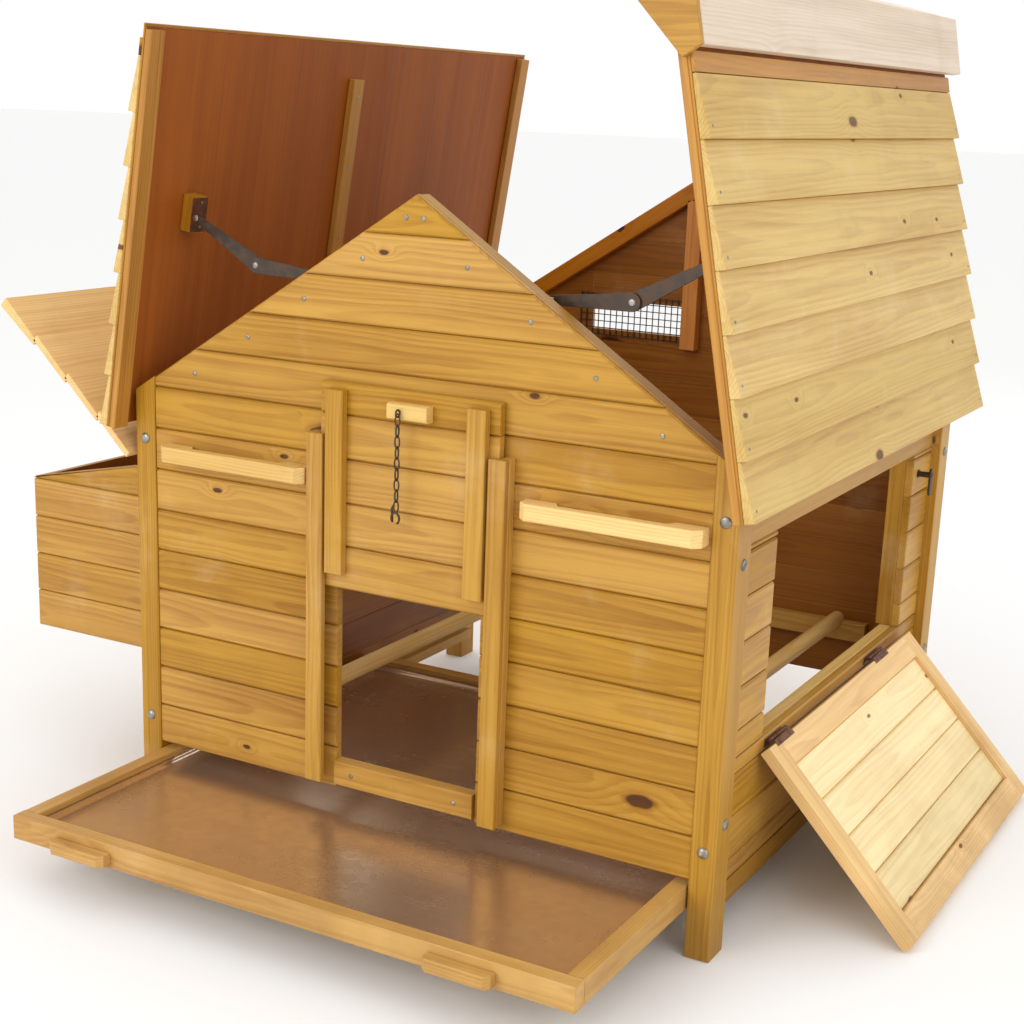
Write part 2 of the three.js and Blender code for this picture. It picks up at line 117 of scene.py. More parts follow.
def pine_figure_group():
    """Rings are the distance from the pith, drawn out along the log and bent round each knot."""
    t, gin, gout = new_group(
        "pine figure",
        [("NodeSocketVector", "Grain", (0, 0, 0)), ("NodeSocketFloat", "Tone", 0.5),
         ("NodeSocketColor", "Early Wood", linear(224, 178, 104)),
         ("NodeSocketColor", "Late Wood", linear(176, 112, 40)),
         ("NodeSocketColor", "Knot", linear(84, 42, 20)),
         ("NodeSocketFloat", "Ring Contrast", 0.6), ("NodeSocketFloat", "Knots", 0.5),
         ("NodeSocketFloat", "Tone Spread", 0.35), ("NodeSocketFloat", "Rings per Metre", 230.0)],
        [("NodeSocketColor", "Colour"), ("NodeSocketFloat", "Figure"),
         ("NodeSocketFloat", "Knot Mask"), ("NodeSocketFloat", "Height")])
    grain = gin.outputs["Grain"]
    sep = node(t, "ShaderNodeSeparateXYZ", {"Vector": grain})
    u, v, w = sep.outputs[0], sep.outputs[1], sep.outputs[2]

    # knots: one branch in some cells of a loose grid laid over the log
    cells = stretched(t, grain, (4.2, 9.5, 0.0))
    spots = node(t, "ShaderNodeTexVoronoi", {"Vector": cells, "Scale": 1.0, "Randomness": 0.9},
                 voronoi_dimensions="2D")
    pick = node(t, "ShaderNodeSeparateColor", {"Color": spots.outputs["Color"]})
    there = sums(t, "GREATER_THAN", gin.outputs["Knots"], pick.outputs[0])
    size = sums(t, "MULTIPLY_ADD", sums(t, "POWER", pick.outputs[1], 1.6), 0.07, 0.03)
    wobble = noise(t, stretched(t, grain, (60, 60, 60)), 1.0, 2.0)
    reach = sums(t, "ADD", spots.outputs["Distance"],
                 sums(t, "MULTIPLY_ADD", wobble, 0.03, -0.015))
    near = sums(t, "DIVIDE", reach, size)
    knot = sums(t, "MULTIPLY", fade(t, near, 1.05, 0.8), there)
    rim = sums(t, "MULTIPLY", fade(t, near, 1.5, 0.95), there)
    swell = sums(t, "MULTIPLY", sums(t, "EXPONENT", sums(t, "MULTIPLY",
                 sums(t, "POWER", near, 2.0), -0.14)), there)

    # rings: distance from the pith, with a slow drift and the swelling at a knot
    drift = noise(t, stretched(t, grain, (1.3, 7.0, 7.0)), 1.0, 2.0)
    bend = noise(t, stretched(t, grain, (6.0, 40.0, 40.0)), 1.0, 2.0)
    away = sums(t, "SQRT", sums(t, "ADD", sums(t, "MULTIPLY", v, v), sums(t, "MULTIPLY", w, w)))
    away = sums(t, "MULTIPLY_ADD", u, 0.004, away)
    away = sums(t, "MULTIPLY_ADD", drift, 0.030, away)
    away = sums(t, "MULTIPLY_ADD", bend, 0.0035, away)
    away = sums(t, "MULTIPLY_ADD", swell, 0.012, away)
    turn = sums(t, "FRACT", sums(t, "MULTIPLY", away, gin.outputs["Rings per Metre"]))
    late = sums(t, "MULTIPLY", fade(t, turn, 0.2, 0.88), fade(t, turn, 1.0, 0.9))

    # fibres: long fine streaks and short resin dashes
    streak = noise(t, stretched(t, grain, (2.2, 120.0, 120.0)), 1.0, 4.0, 0.6)
    fibre = noise(t, stretched(t, grain, (22.0, 900.0, 900.0)), 1.0, 2.0, 0.6)
    dash = fade(t, noise(t, stretched(t, grain, (45.0, 1500.0, 1500.0)), 1.0, 1.0), 0.68, 0.8)
    cloud = noise(t, stretched(t, grain, (1.6, 14.0, 14.0)), 1.0, 3.0)

    dark = sums(t, "MULTIPLY", late, gin.outputs["Ring Contrast"])
    dark = sums(t, "MULTIPLY_ADD", sums(t, "SUBTRACT", streak, 0.42), 0.95, dark)
    dark = sums(t, "MULTIPLY_ADD", sums(t, "SUBTRACT", cloud, 0.42), 1.1, dark)
    dark = sums(t, "MULTIPLY_ADD", sums(t, "SUBTRACT", fibre, 0.5), 0.4, dark)
    dark = sums(t, "MULTIPLY_ADD", dash, 0.16, dark)
    dark = sums(t, "MULTIPLY_ADD", rim, 0.55, dark, clamp=True)
    wood = blend_colour(t, dark, gin.outputs["Early Wood"], gin.outputs["Late Wood"])
    shade = sums(t, "MULTIPLY_ADD", sums(t, "SUBTRACT", gin.outputs["Tone"], 0.5),
                 gin.outputs["Tone Spread"], 1.0)
    toned = node(t, "ShaderNodeHueSaturation", {"Color": wood, "Value": shade,
                 "Saturation": sums(t, "MULTIPLY_ADD", shade, -0.45, 1.45)})
    hearts = sums(t, "MULTIPLY_ADD", sums(t, "SINE", sums(t, "MULTIPLY", near, 24.0)), 0.12, 0.88)
    pit = blend_colour(t, 1.0, gin.outputs["Knot"], node(t, "ShaderNodeCombineColor",
                       {0: hearts, 1: hearts, 2: hearts}).outputs[0], "MULTIPLY")
    colour = blend_colour(t, sums(t, "MULTIPLY", knot, 0.86), toned.outputs[0], pit)

    height = sums(t, "MULTIPLY_ADD", late, 0.25, sums(t, "MULTIPLY", fibre, 0.35))
    height = sums(t, "MULTIPLY_ADD", knot, 0.8, height)
    for label, value in (("Colour", colour), ("Figure", late), ("Knot Mask", knot),
                         ("Height", height)):
        t.links.new(value, gout.inputs[label])
    return t


pine_figure = pine_figure_group()


def weather_group():
    """Grime in blotches and specks and sun-bleached patches, from place alone; also darker towards
    the bottom.
    """
    t, gin, gout = new_group(
        "yard weather",
        [("NodeSocketColor", "Colour", (0.5, 0.5, 0.5, 1)), ("NodeSocketFloat", "Grime", 0.3),
         ("NodeSocketFloat", "Bleach", 0.2)],
        [("NodeSocketColor", "Colour"), ("NodeSocketFloat", "Mask")])
    place = node(t, "ShaderNodeTexCoord").outputs["Object"]
    patch = noise(t, place, 5.5, 5.0, 0.62)
    speck = noise(t, place, 95.0, 3.0, 0.6)
    # darker towards the bottom: the blotch mask rises below 0.2 m
    low = fade(t, node(t, "ShaderNodeSeparateXYZ", {"Vector": place}).outputs[2], 0.20, 0.0)
    dirt = sums(t, "MULTIPLY", fade(t, sums(t, "MULTIPLY_ADD", low, 0.32, patch), 0.52, 0.95),
                gin.outputs["Grime"])
    dirt = sums(t, "MULTIPLY_ADD", fade(t, speck, 0.66, 0.78), sums(t, "MULTIPLY",
                gin.outputs["Grime"], 0.35), dirt, clamp=True)
    pale = sums(t, "MULTIPLY", fade(t, patch, 0.46, 0.25), gin.outputs["Bleach"])
    faded = blend_colour(t, pale, gin.outputs["Colour"], linear(238, 214, 170))
    soiled = blend_colour(t, dirt, faded, linear(112, 74, 34))
    t.links.new(soiled, gout.inputs["Colour"])
    t.links.new(dirt, gout.inputs["Mask"])
    return t


yard_weather = weather_group()


def started(name):
    """A new material; returns it, its node tree and its Principled shader."""
    made = bpy.data.materials.new(name)
    made.use_nodes = True
    return made, made.node_tree, made.node_tree.nodes["Principled BSDF"]


def finished(tree, skin, colour, rough, height, strength, depth):
    """Join colour and roughness to the shader, and a height to its normal through a bump."""
    tree.links.new(colour, skin.inputs["Base Color"])
    tree.links.new(rough, skin.inputs["Roughness"])
    bump = node(tree, "ShaderNodeBump", {"Strength": strength, "Distance": depth,
                "Height": height})
    tree.links.new(bump.outputs[0], skin.inputs["Normal"])


INDOOR_PAINTED_SHADE = (0.62, 0.42, 0.24, 1)   # painted shade: multiplies the wood on faces that look indoors


def pine(name, early, late, knot, contrast=0.26, knots=0.24, spread=0.2, grime=0.3,
         bleach=0.15, shine=0.46, rings=230.0):
    """Stained pine: the figure, painted shade (a darker brown multiplied in) on faces that look
    indoors, the weather over it, and a satin finish that dips in the rings."""
    made, t, skin = started(name)
    grain = node(t, "ShaderNodeAttribute", attribute_name="grain").outputs["Vector"]
    tone = node(t, "ShaderNodeAttribute", attribute_name="tone").outputs["Fac"]
    figure = node(t, "ShaderNodeGroup", {
        "Grain": grain, "Tone": tone, "Early Wood": linear(*early), "Late Wood": linear(*late),
        "Knot": linear(*knot), "Ring Contrast": contrast, "Knots": knots, "Tone Spread": spread,
        "Rings per Metre": rings}, node_tree=pine_figure)
    over = node(t, "ShaderNodeGroup", node_tree=yard_weather)
    indoors = node(t, "ShaderNodeAttribute", attribute_name="indoors").outputs["Fac"]
    # painted shade: the wood is multiplied darker on faces that look indoors, for the shade inside
    # the coop
    shaded_inside = blend_colour(t, 1.0, figure.outputs["Colour"], INDOOR_PAINTED_SHADE, "MULTIPLY")
    t.links.new(blend_colour(t, indoors, figure.outputs["Colour"], shaded_inside), over.inputs["Colour"])
    over.inputs["Grime"].default_value = grime
    over.inputs["Bleach"].default_value = bleach
    skin.inputs["Specular IOR Level"].default_value = 0.28
    gloss = sums(t, "MULTIPLY_ADD", figure.outputs["Figure"], -0.08, shine)
    gloss = sums(t, "MULTIPLY_ADD", over.outputs["Mask"], 0.3, gloss)
    finished(t, skin, over.outputs["Colour"], gloss, figure.outputs["Height"], 0.12, 0.0006)
    return made


honey_pine = pine("honey stained pine", (193, 145, 56), (138, 85, 17), (66, 32, 14))


def inset(outline, long_depth, end_depth):
    """Every edge moves in by its own depth, lengthwise edges by one and end cuts by another; a
    corner p goes to p - a n1 - b n2, where a + b n1.n2 and a n1.n2 + b are the two depths."""
    edge = np.roll(outline, -1, 0) - outline
    edge /= np.linalg.norm(edge, axis=1)[:, None]
    normal = np.stack([edge[:, 1], -edge[:, 0]], 1)
    depth = np.where(np.abs(edge[:, 0]) > 0.8, long_depth, end_depth)
    n1, n2, d1, d2 = np.roll(normal, 1, 0), normal, np.roll(depth, 1), depth
    c = (n1 * n2).sum(1)
    span = np.maximum(1 - c * c, 1e-3)
    a, b = (d1 - c * d2) / span, (d2 - c * d1) / span
    return outline - a[:, None] * n1 - b[:, None] * n2


def board(outline, thick, origin, along, across, face=0.8, back=0.8, tone=None, through=False,
          indoors=0.0):
    """A flat outline given a thickness by rings of the outline, the outermost drawn in so that
    the arrises are eased.  A deep face joint also gets a narrow slot at its foot, down to the
    tongue.  Grain runs along the outline's first axis, or through the thickness."""
    outline = np.asarray(outline, float)
    shifted = np.roll(outline, -1, 0)
    if (outline[:, 0] * shifted[:, 1] - shifted[:, 0] * outline[:, 1]).sum() < 0:
        outline = outline[::-1]
    along, across = np.asarray(along, float), np.asarray(across, float)
    along, across = along / np.linalg.norm(along), across / np.linalg.norm(across)
    half, n = thick / 2, len(outline)
    ends = [depth if through else min(depth, 0.6) for depth in (back, face)]
    slot = 0.8 if face > 1.3 and not through else 0
    rings = [(-half, back, ends[0]), (-half + back, 0, 0)]
    rings += [(half - face - 3, 0, 0), (half - face - 3, slot, 0)] if slot else []
    rings += [(half - face, slot, 0), (half, face + slot, ends[1])]
    flat = np.concatenate([inset(outline, deep, end) for _, deep, end in rings])
    level = np.repeat([ring[0] for ring in rings], n)
    points = (np.asarray(origin, float) + flat[:, :1] * along + flat[:, 1:] * across
              + level[:, None] * np.cross(along, across))
    i, j, last = np.arange(n), np.roll(np.arange(n), -1), len(rings) - 1
    sides = [np.stack([k * n + i, k * n + j, (k + 1) * n + j, (k + 1) * n + i], 1)
             for k in range(last)]
    faces = np.concatenate(sides).tolist() + [i[::-1].tolist(), (last * n + i).tolist()]
    pith = np.array([chance.uniform(0, 60), chance.uniform(-0.02, 0.02),
                     chance.uniform(0.018, 0.06)])
    middle = (outline.min(0) + outline.max(0)) / 2
    grain = np.column_stack([flat - middle, level]) / 1000
    grain = (grain[:, [2, 0, 1]] if through else grain) + pith
    shade = chance.uniform(0, 1) if tone is None else tone
    # the back ring's indoors value is what the pine materials darken as painted shade
    return (points, faces, grain, np.full(len(points), shade),
            np.where(np.arange(len(points)) < n, indoors, 0.0))


def oblong(a, b):
    """Corners of a rectangle that reaches a and b to each side of its middle."""
    return [(-a, -b), (a, -b), (a, b), (-a, b)]


def stick(low, high, along, tone=None, ease=0.8):
    """A square-cut stick between two corners, with its grain along one axis (0 x, 1 y, 2 z)."""
    low, high = np.asarray(low, float), np.asarray(high, float)
    size, middle = high - low, (low + high) / 2
    broad = max((k for k in range(3) if k != along), key=lambda k: size[k])
    thin = 3 - along - broad
    a, b = size[along] / 2, size[broad] / 2
    axes = np.eye(3)
    return board(oblong(a, b), size[thin], middle, axes[along],
                 axes[broad], ease, ease, tone)


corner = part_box("post_front_left")[0]
DRAWING = np.array([corner.x + 0.5, corner.y, corner.z])   # the drawing's origin, in metres


def fitted(name, shells, material, body, nodes=(), smooth=False):
    """One mesh piece from shells of points in drawing millimetres, with their attributes.  It
    rides on a body, takes a slot's finish, and stands for the plain solids named in nodes."""
    count = np.cumsum([0] + [len(s[0]) for s in shells])
    points = np.concatenate([s[0] for s in shells]) / 1000 + DRAWING
    faces = [[k + start for k in f] for s, start in zip(shells, count) for f in s[1]]
    mesh = bpy.data.meshes.new(name)
    mesh.from_pydata(points.tolist(), [], faces)
    if len(shells[0]) > 2:
        for k, label, kind, field in ((2, "grain", "FLOAT_VECTOR", "vector"),
                                      (3, "tone", "FLOAT", "value"),
                                      (4, "indoors", "FLOAT", "value")):
            layer = mesh.attributes.new(label, kind, "POINT")
            layer.data.foreach_set(field, np.concatenate([s[k] for s in shells]).ravel())
    mesh.shade_smooth() if smooth else mesh.shade_flat()
    mesh.materials.append(material)
    mesh.update()
    piece = bpy.data.objects.new(name, mesh)
    bpy.context.collection.objects.link(piece)
    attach(piece, body)
    if nodes:
        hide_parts(*nodes)


# ---- Corner posts ----
# Four planed posts of 37 by 52 mm, cut square at the foot and along the roof line at the head.

POST_W, POST_D, HALF, DEPTH, APEX, EAVE = 37, 52, 500, 1000, 1005, 684
SLOPE = math.atan2(APEX - EAVE, HALF)


def gable_line(x):
    """Height of the roof line over a place across the front."""
    return APEX - abs(x) * math.tan(SLOPE)


posts = []
for side in (-1, 1):
    for front in (0, DEPTH - POST_D):
        outer, inner = side * HALF, side * (HALF - POST_W)
        head = [(0, outer), (0, inner), (gable_line(inner) - 1, inner),
                (gable_line(outer) - 1, outer)]
        posts.append(board(head, POST_D, (0, front + POST_D / 2, 0), (0, 0, 1), (1, 0, 0), 1.5,
                           1.5))
fitted("corner_posts", posts, honey_pine, "coop",
       ["post_front_left", "post_front_right", "post_back_left", "post_back_right"])

# ---- Front wall ----
# Matching boards 64 mm wide with a V joint, nailed between the posts; the five lowest are cut
# away for the pop hole and the topmost follow the roof line.

ROW, FOOT, BETWEEN, APART = 64.3, 112.3, HALF - POST_W - 0.3, 0.15
V_JOINT, BOARD_T = 2.6, 14
FRONT_FACE, BACK_FACE = 3, 997          # where the boards' outer faces stand, front to back
FACING = {"front": (1, 0, 0), "back": (-1, 0, 0), "right": (0, 1, 0), "left": (0, -1, 0)}


def plank(points, face, facing, thick=BOARD_T, joint=V_JOINT):
    """A board standing in a wall: points are (place along the wall, height), face is where its
    outer face stands, and its V joints are on that face."""
    along = np.array(FACING[facing], float)
    outward = np.cross(along, (0, 0, 1))
    sign = along.sum()
    centre = np.abs(outward) * face - outward * thick / 2
    # the back face looks indoors and so takes the painted indoor shade
    return board([(sign * p, z) for p, z in points], thick, centre, along, (0, 0, 1), joint, 0.6,
                 indoors=1.0)


def courses(p0, p1, low, high, face, facing, thick=BOARD_T):
    """Level boards from p0 to p1 that fill a height, with their joints on the shared rows."""
    rows = [FOOT + ROW * k for k in range(-1, 16)]
    cuts = [low] + [z for z in rows if low + 8 < z < high - 8] + [high]
    return [plank([(p0, a + APART), (p1, a + APART), (p1, b - APART), (p0, b - APART)], face,
                  facing, thick) for a, b in zip(cuts, cuts[1:])]


def gable_row(low, high):
    """Outline of one level board under the roof line, starting at its lower left corner."""
    line = APEX - 1
    knee = line - BETWEEN * math.tan(SLOPE)
    reach = [min(BETWEEN, max(0, line - z) / math.tan(SLOPE)) for z in (low, high)]
    right = [(reach[0], low)] + ([(BETWEEN, knee)] if low < knee < high else [])
    right += [(reach[1], high)] if reach[1] > 1 else [(0, line)]
    return [(-right[0][0], low)] + right + [(-x, z) for x, z in right[:0:-1] if x > 0]


front = [b for x0, x1 in ((-BETWEEN, -122), (122, BETWEEN))
         for b in courses(x0, x1, FOOT, FOOT + 5 * ROW, FRONT_FACE, "front")]
front += courses(-BETWEEN, BETWEEN, FOOT + 5 * ROW, FOOT + 9 * ROW, FRONT_FACE, "front")
gable_rows = [(FOOT + k * ROW + APART, min(FOOT + (k + 1) * ROW - APART, APEX - 1))
              for k in range(9, 14)]
front += [plank(gable_row(*row), FRONT_FACE, "front") for row in gable_rows]
for perch_x in (-235, 330):
    front += [stick((perch_x - 60, 17.2, 186), (perch_x - 14.6, 37, 220), 0),
              stick((perch_x + 14.6, 17.2, 186), (perch_x + 60, 37, 220), 0),
              stick((perch_x - 14.4, 17.2, 186), (perch_x + 14.4, 37, 205), 0)]
fitted("front_boards", front, honey_pine, "coop",
       ["front_wall_left", "front_wall_right", "front_wall_upper"])

# ---- Pop hole: sill and guides ----
# A sill board screwed across the foot of the hole, and two rebated uprights that the pop
# door slides behind.

pale_pine = pine("pale pine", (234, 198, 126), (198, 148, 74), (104, 58, 26),
                 knots=0.12, grime=0.12, bleach=0.25, shine=0.5)
fitted("pop_sill_board", [stick((-121.5, -4, 121), (121.5, 17, 159), 0, 0.9)], honey_pine, "coop",
       ["pop_hole_sill"])

guides = []
for side, foot in ((-1, 128), (1, 124)):
    for outer, inner, y0, y1 in ((165, 150, 2.7, -13.9), (165, 137, -14, -25)):
        a, b = sorted((5 + side * outer, 5 + side * inner))
        guides.append(stick((a, y1, foot), (b, y0, 662), 2, ease=1.2))
fitted("pop_guides", guides, honey_pine, "coop",
       ["pop_guide_left", "pop_guide_right"])

# ---- Grab handles ----
# Two bars of pale unstained pine, thicker at the ends where they are screwed on, so that
# fingers go in behind; the ends are cut off at a slant.

handles = []
for x0, x1, z in ((-434, -166, 595), (191, 459, 597)):
    grip = [(x0, 2.5), (x0 + 44, 2.5), (x0 + 54, -12), (x1 - 54, -12), (x1 - 44, 2.5), (x1, 2.5),
            (x1, -20), (x1 - 12, -31), (x0 + 12, -31), (x0, -20)]
    handles.append(board(grip, 24, (0, 0, z), (1, 0, 0), (0, 1, 0), 1.6, 1.6))
fitted("grab_handles", handles, pale_pine, "coop",
       ["grab_handle_left", "grab_handle_right"])

# ---- Rafters inside the front gable ----
# A batten nailed along each slope inside the boards, with a pale block that the stay is
# screwed to.


def slope_bar(side, y0, y1, top=1.2, foot=34):
    """A batten that follows the roof line from the post to the ridge, mitred at the ridge."""
    outline = np.array([(BETWEEN, gable_line(BETWEEN) - top), (0.6, APEX - top - 0.4),
                        (0.6, APEX - foot - 2), (BETWEEN, gable_line(BETWEEN) - foot)])
    outline[:, 0] *= side
    along = np.array([-side * math.cos(SLOPE), 0, math.sin(SLOPE)])
    across = np.array([side * math.sin(SLOPE), 0, math.cos(SLOPE)])
    flat = outline @ np.stack([along[[0, 2]], across[[0, 2]]], 1)
    return board(flat, y1 - y0, (0, (y0 + y1) / 2, 0), along, across, 1, 1)


front_rafters = [slope_bar(side, 17.3, 39.3) for side in (-1, 1)]
fitted("front_rafters", front_rafters, honey_pine, "coop",
       ["rafter_front_left", "rafter_front_right"])
STAY_FOOT = {-1: (-186, 872), 1: (174, 872)}
lugs = [stick((x - 15, 39.4, z - 13), (x + 15, 58, z + 5), 0) for x, z in STAY_FOOT.values()]
fitted("front_stay_blocks", lugs, pale_pine, "coop")

# ---- Back wall and its vent ----
# The same boards; the two rows behind the vent are cut round it.  Rafters and a centre batten
# stiffen the gable inside, and welded mesh is stapled over the vent.

stained_pine = pine("orange stained pine", (206, 132, 44), (152, 82, 18),
                    (52, 22, 8), knots=0.4, bleach=0.0)
VENT = (-211, -16, 712, 768)
back = courses(-BETWEEN, BETWEEN, FOOT, FOOT + 9 * ROW, BACK_FACE, "back")
for low, high in gable_rows:
    whole = gable_row(low, high)
    if low < VENT[3] and high > VENT[2]:
        a, b = (low, VENT[2]) if low < VENT[2] else (VENT[3], high)
        back.append(plank([(VENT[0], a), (VENT[1], a), (VENT[1], b), (VENT[0], b)], BACK_FACE,
                          "back", joint=0.6))
        lefts = [(x, z) for x, z in whole if x < VENT[0]]
        rights = [(x, z) for x, z in whole if x > VENT[1]]
        back.append(plank(rights + [(VENT[1], high), (VENT[1], low)], BACK_FACE, "back",
                          joint=0.6))
        lefts = [(VENT[0], high)] + lefts[1:] + [lefts[0]] + [(VENT[0], low)]
        back.append(plank(lefts, BACK_FACE, "back", joint=0.6))
    else:
        back.append(plank(whole, BACK_FACE, "back"))
fitted("back_boards", back, honey_pine, "coop",
       ["back_wall_lower", "back_wall_gable"])
stiffeners = [slope_bar(side, 961.2, 982.6) for side in (-1, 1)]
stiffeners.append(stick((-15, 961.2, 691.5), (15, 982.8, 966), 2))
fitted("back_rafters_and_batten", stiffeners, stained_pine, "coop")


def metal(name, colour, dull, rough, metallic=1.0):
    """Bare or coated metal: blotches of tarnish and fine pitting in its roughness and colour."""
    made, t, skin = started(name)
    place = node(t, "ShaderNodeTexCoord").outputs["Object"]
    blotch = noise(t, place, 60.0, 4.0, 0.6)
    pits = noise(t, place, 840.0, 2.0, 0.6)
    stain = fade(t, sums(t, "MULTIPLY_ADD", pits, 0.3, blotch), 0.52, 0.9)
    tint = blend_colour(t, stain, linear(*colour), linear(*dull))
    skin.inputs["Metallic"].default_value = metallic
    finished(t, skin, tint, sums(t, "MULTIPLY_ADD", stain, 0.25, rough), pits, 0.15, 0.0004)
    return made


black_steel = metal("blackened steel", (70, 62, 56), (98, 76, 58), 0.38, metallic=0.7)
zinc = metal("bright zinc", (164, 162, 156), (122, 114, 100), 0.3)
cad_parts["vent_mesh"].data.materials.clear()
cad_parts["vent_mesh"].data.materials.append(black_steel)

# ---- Side walls ----
# Level boards between the posts under a top beam.  The right side leaves an opening for the
# side door with a sill and a jamb; the left side leaves one for the nest box.

SIDE_FACE, BEAM_FOOT, SIDE_Y = 484, 572.7, (52.3, 947.7)
DOORWAY_Y, SILL_TOP, WALL_FOOT = (192, 846), 265, 82
sides = courses(*SIDE_Y, WALL_FOOT, 264.7, SIDE_FACE, "right")
sides += courses(SIDE_Y[0], DOORWAY_Y[0], SILL_TOP, BEAM_FOOT, SIDE_FACE, "right")
sides += courses(DOORWAY_Y[1], SIDE_Y[1], SILL_TOP, BEAM_FOOT, SIDE_FACE, "right")
sides += courses(*SIDE_Y, WALL_FOOT, 241.7, -SIDE_FACE, "left")
sides += courses(745.3, SIDE_Y[1], 242, BEAM_FOOT, -SIDE_FACE, "left")
for side in (-1, 1):
    top = gable_line(SIDE_FACE) - 1, gable_line(463) - 1
    beam = [(side * 463, 573), (side * SIDE_FACE, 573), (side * SIDE_FACE, top[0]),
            (side * 463, top[1])]
    sides.append(board(beam, 895.4, (0, 500, 0), (1, 0, 0), (0, 0, 1), 1, 1, through=True))
fitted("side_walls", sides, honey_pine, "coop",
       ["side_beam_right", "side_beam_left", "side_wall_right_front", "side_wall_right_back",
        "side_wall_right_lower", "side_wall_left_lower", "side_wall_left_back"])
sill = stick((450, 52.5, 245.7), (469.8, 947.5, 264.7), 1)
fitted("side_door_sill", [sill], pale_pine, "coop")
jamb = stick((442, DOORWAY_Y[1], SILL_TOP), (469.8, 868, BEAM_FOOT), 2)
fitted("side_door_jamb", [jamb], honey_pine, "coop")

# ---- Nest box ----
# A box hung on the left side: two ends of level boards, an outer wall, a floor and a divider
# that makes two nests.

NEST_OUT, NEST_Y, NEST_LOW, NEST_LIP, LID_FALL = 770, (52.3, 745), 242, 501, math.radians(11.8)
wall_top = NEST_LIP + (NEST_OUT - SIDE_FACE) * math.tan(LID_FALL)
nest = []
cuts = [NEST_LOW] + [FOOT + ROW * k for k in range(3, 7)] + [BEAM_FOOT]
for y, facing in ((NEST_Y[0], "front"), (NEST_Y[1], "back")):
    for low, high in zip(cuts, cuts[1:]):
        a, b = low + APART, high - APART
        if b <= NEST_LIP:
            left = [(-NEST_OUT, a), (-NEST_OUT, b)]
        else:                                   # cut along the fall of the lid
            x_a, x_b = [-NEST_OUT + (z - NEST_LIP) / math.tan(LID_FALL) for z in (a, b)]
            left = [(-NEST_OUT, a), (-NEST_OUT, NEST_LIP)] if a < NEST_LIP else [(x_a, a)]
            left += [(x_b, b)] if x_b < -484.3 else [(-484.3, wall_top), (-484.3, b)]
        nest.append(plank([*left, (-470, b), (-470, a)], y, facing, joint=1.4))
nest += courses(66.6, 730.7, NEST_LOW, NEST_LIP + 1.4, -NEST_OUT, "left")
nest.append(stick((-755.7, 66.6, NEST_LOW), (-470, 730.7, 254), 1))
divide = [(-755.7, 254.3), (-484, 254.3), (-484, wall_top - 1), (-755.7, NEST_LIP + 2.1)]
nest.append(board(divide, 12, (0, 398.65, 0), (1, 0, 0), (0, 0, 1)))
fitted("nest_box", nest, honey_pine, "coop",
       ["nest_end_front", "nest_end_back", "nest_outer_wall", "nest_floor", "nest_divider"])

# ---- Nest lid ----
# Four lapped boards nailed to each other, on two butt hinges along the coop wall.

lid_pine = pine("lid pine", (240, 202, 138), (204, 150, 86), (104, 60, 32),
                knots=0.3, spread=0.16, bleach=0.2, shine=0.55)
LID_UP = math.radians(51.8 - 11.8)


def lid_at(r, n):
    """The raised lid's section: r out from its hinge pin, n square to it."""
    return (-496 - r * math.cos(LID_UP) + n * math.sin(LID_UP),
            560 + r * math.sin(LID_UP) + n * math.cos(LID_UP))


def length_of(section, y0, y1):
    """A section in x and z run from front to back, its end grain eased."""
    return board(section, y1 - y0, (0, (y0 + y1) / 2, 0), (1, 0, 0), (0, 0, 1), through=True)


def softened(section, cut=1.0):
    """Each corner of a section cut off by a small flat, so that long arrises catch the light."""
    s = np.asarray(section, float)
    before, after = np.roll(s, 1, 0) - s, np.roll(s, -1, 0) - s
    before /= np.linalg.norm(before, axis=1)[:, None]
    after /= np.linalg.norm(after, axis=1)[:, None]
    return np.stack([s + cut * before, s + cut * after], 1).reshape(-1, 2)


lid = [length_of([lid_at(23.6, 0.3), lid_at(23.6, 10), lid_at(3, 9.6), lid_at(3, 0.3)], 54, 765)]
lid_lap = (355 - 24) / 4
for k in range(4):
    r = 355 - k * lid_lap
    end = r - lid_lap - (5 if k < 3 else 0)
    foot = 0.3 if k == 0 else 6.2
    shape = [lid_at(r, foot), lid_at(r, 18), lid_at(end, 10.4), lid_at(end, 0.3)]
    lid.append(length_of(softened(shape), -9, 765))
fitted("nest_lid_boards", lid, lid_pine, "nest_lid", ["nest_lid"])


def turned(section, centre, axis, sides=20):
    """A section of (distance along the axis, radius) turned round the axis into a closed shell."""
    s = np.asarray(section, float)
    axis = np.asarray(axis, float) / np.linalg.norm(axis)
    u = np.cross(axis, (0, 0, 1) if abs(axis[2]) < 0.9 else (1, 0, 0))
    u /= np.linalg.norm(u)
    v = np.cross(axis, u)
    t = np.linspace(0, 2 * np.pi, sides, endpoint=False)
    round_ = np.cos(t)[:, None] * u + np.sin(t)[:, None] * v
    points = (np.asarray(centre, float) + s[:, None, :1] * axis + s[:, None, 1:] * round_[None])
    i, j = np.arange(sides), np.roll(np.arange(sides), -1)
    rings = [np.stack([k * sides + i, k * sides + j, (k + 1) * sides + j, (k + 1) * sides + i], 1)
             for k in range(len(s) - 1)]
    return points.reshape(-1, 3), (np.concatenate(rings).tolist()
                                   + [i[::-1].tolist(), ((len(s) - 1) * sides + i).tolist()])


def plate(low, high):
    """A flat metal leaf between two corners, its edges just broken."""
    low, high = np.asarray(low, float), np.asarray(high, float)
    thin = int(np.argmin(high - low))
    a, b = [k for k in range(3) if k != thin]
    size = (high - low) / 2
    axes = np.eye(3)
    return board(oblong(size[a], size[b]), 2 * size[thin], (low + high) / 2, axes[a], axes[b],
                 0.3, 0.3)[:2]


def spun(shell, pin_x, pin_z, angle):
    """A shell turned about a front-to-back line."""
    points, *rest = shell
    c, s = math.cos(angle), math.sin(angle)
    x, z = points[:, 0] - pin_x, points[:, 2] - pin_z
    turned_points = points.copy()
    turned_points[:, 0], turned_points[:, 2] = pin_x + x * c + z * s, pin_z - x * s + z * c
    return (turned_points, *rest)


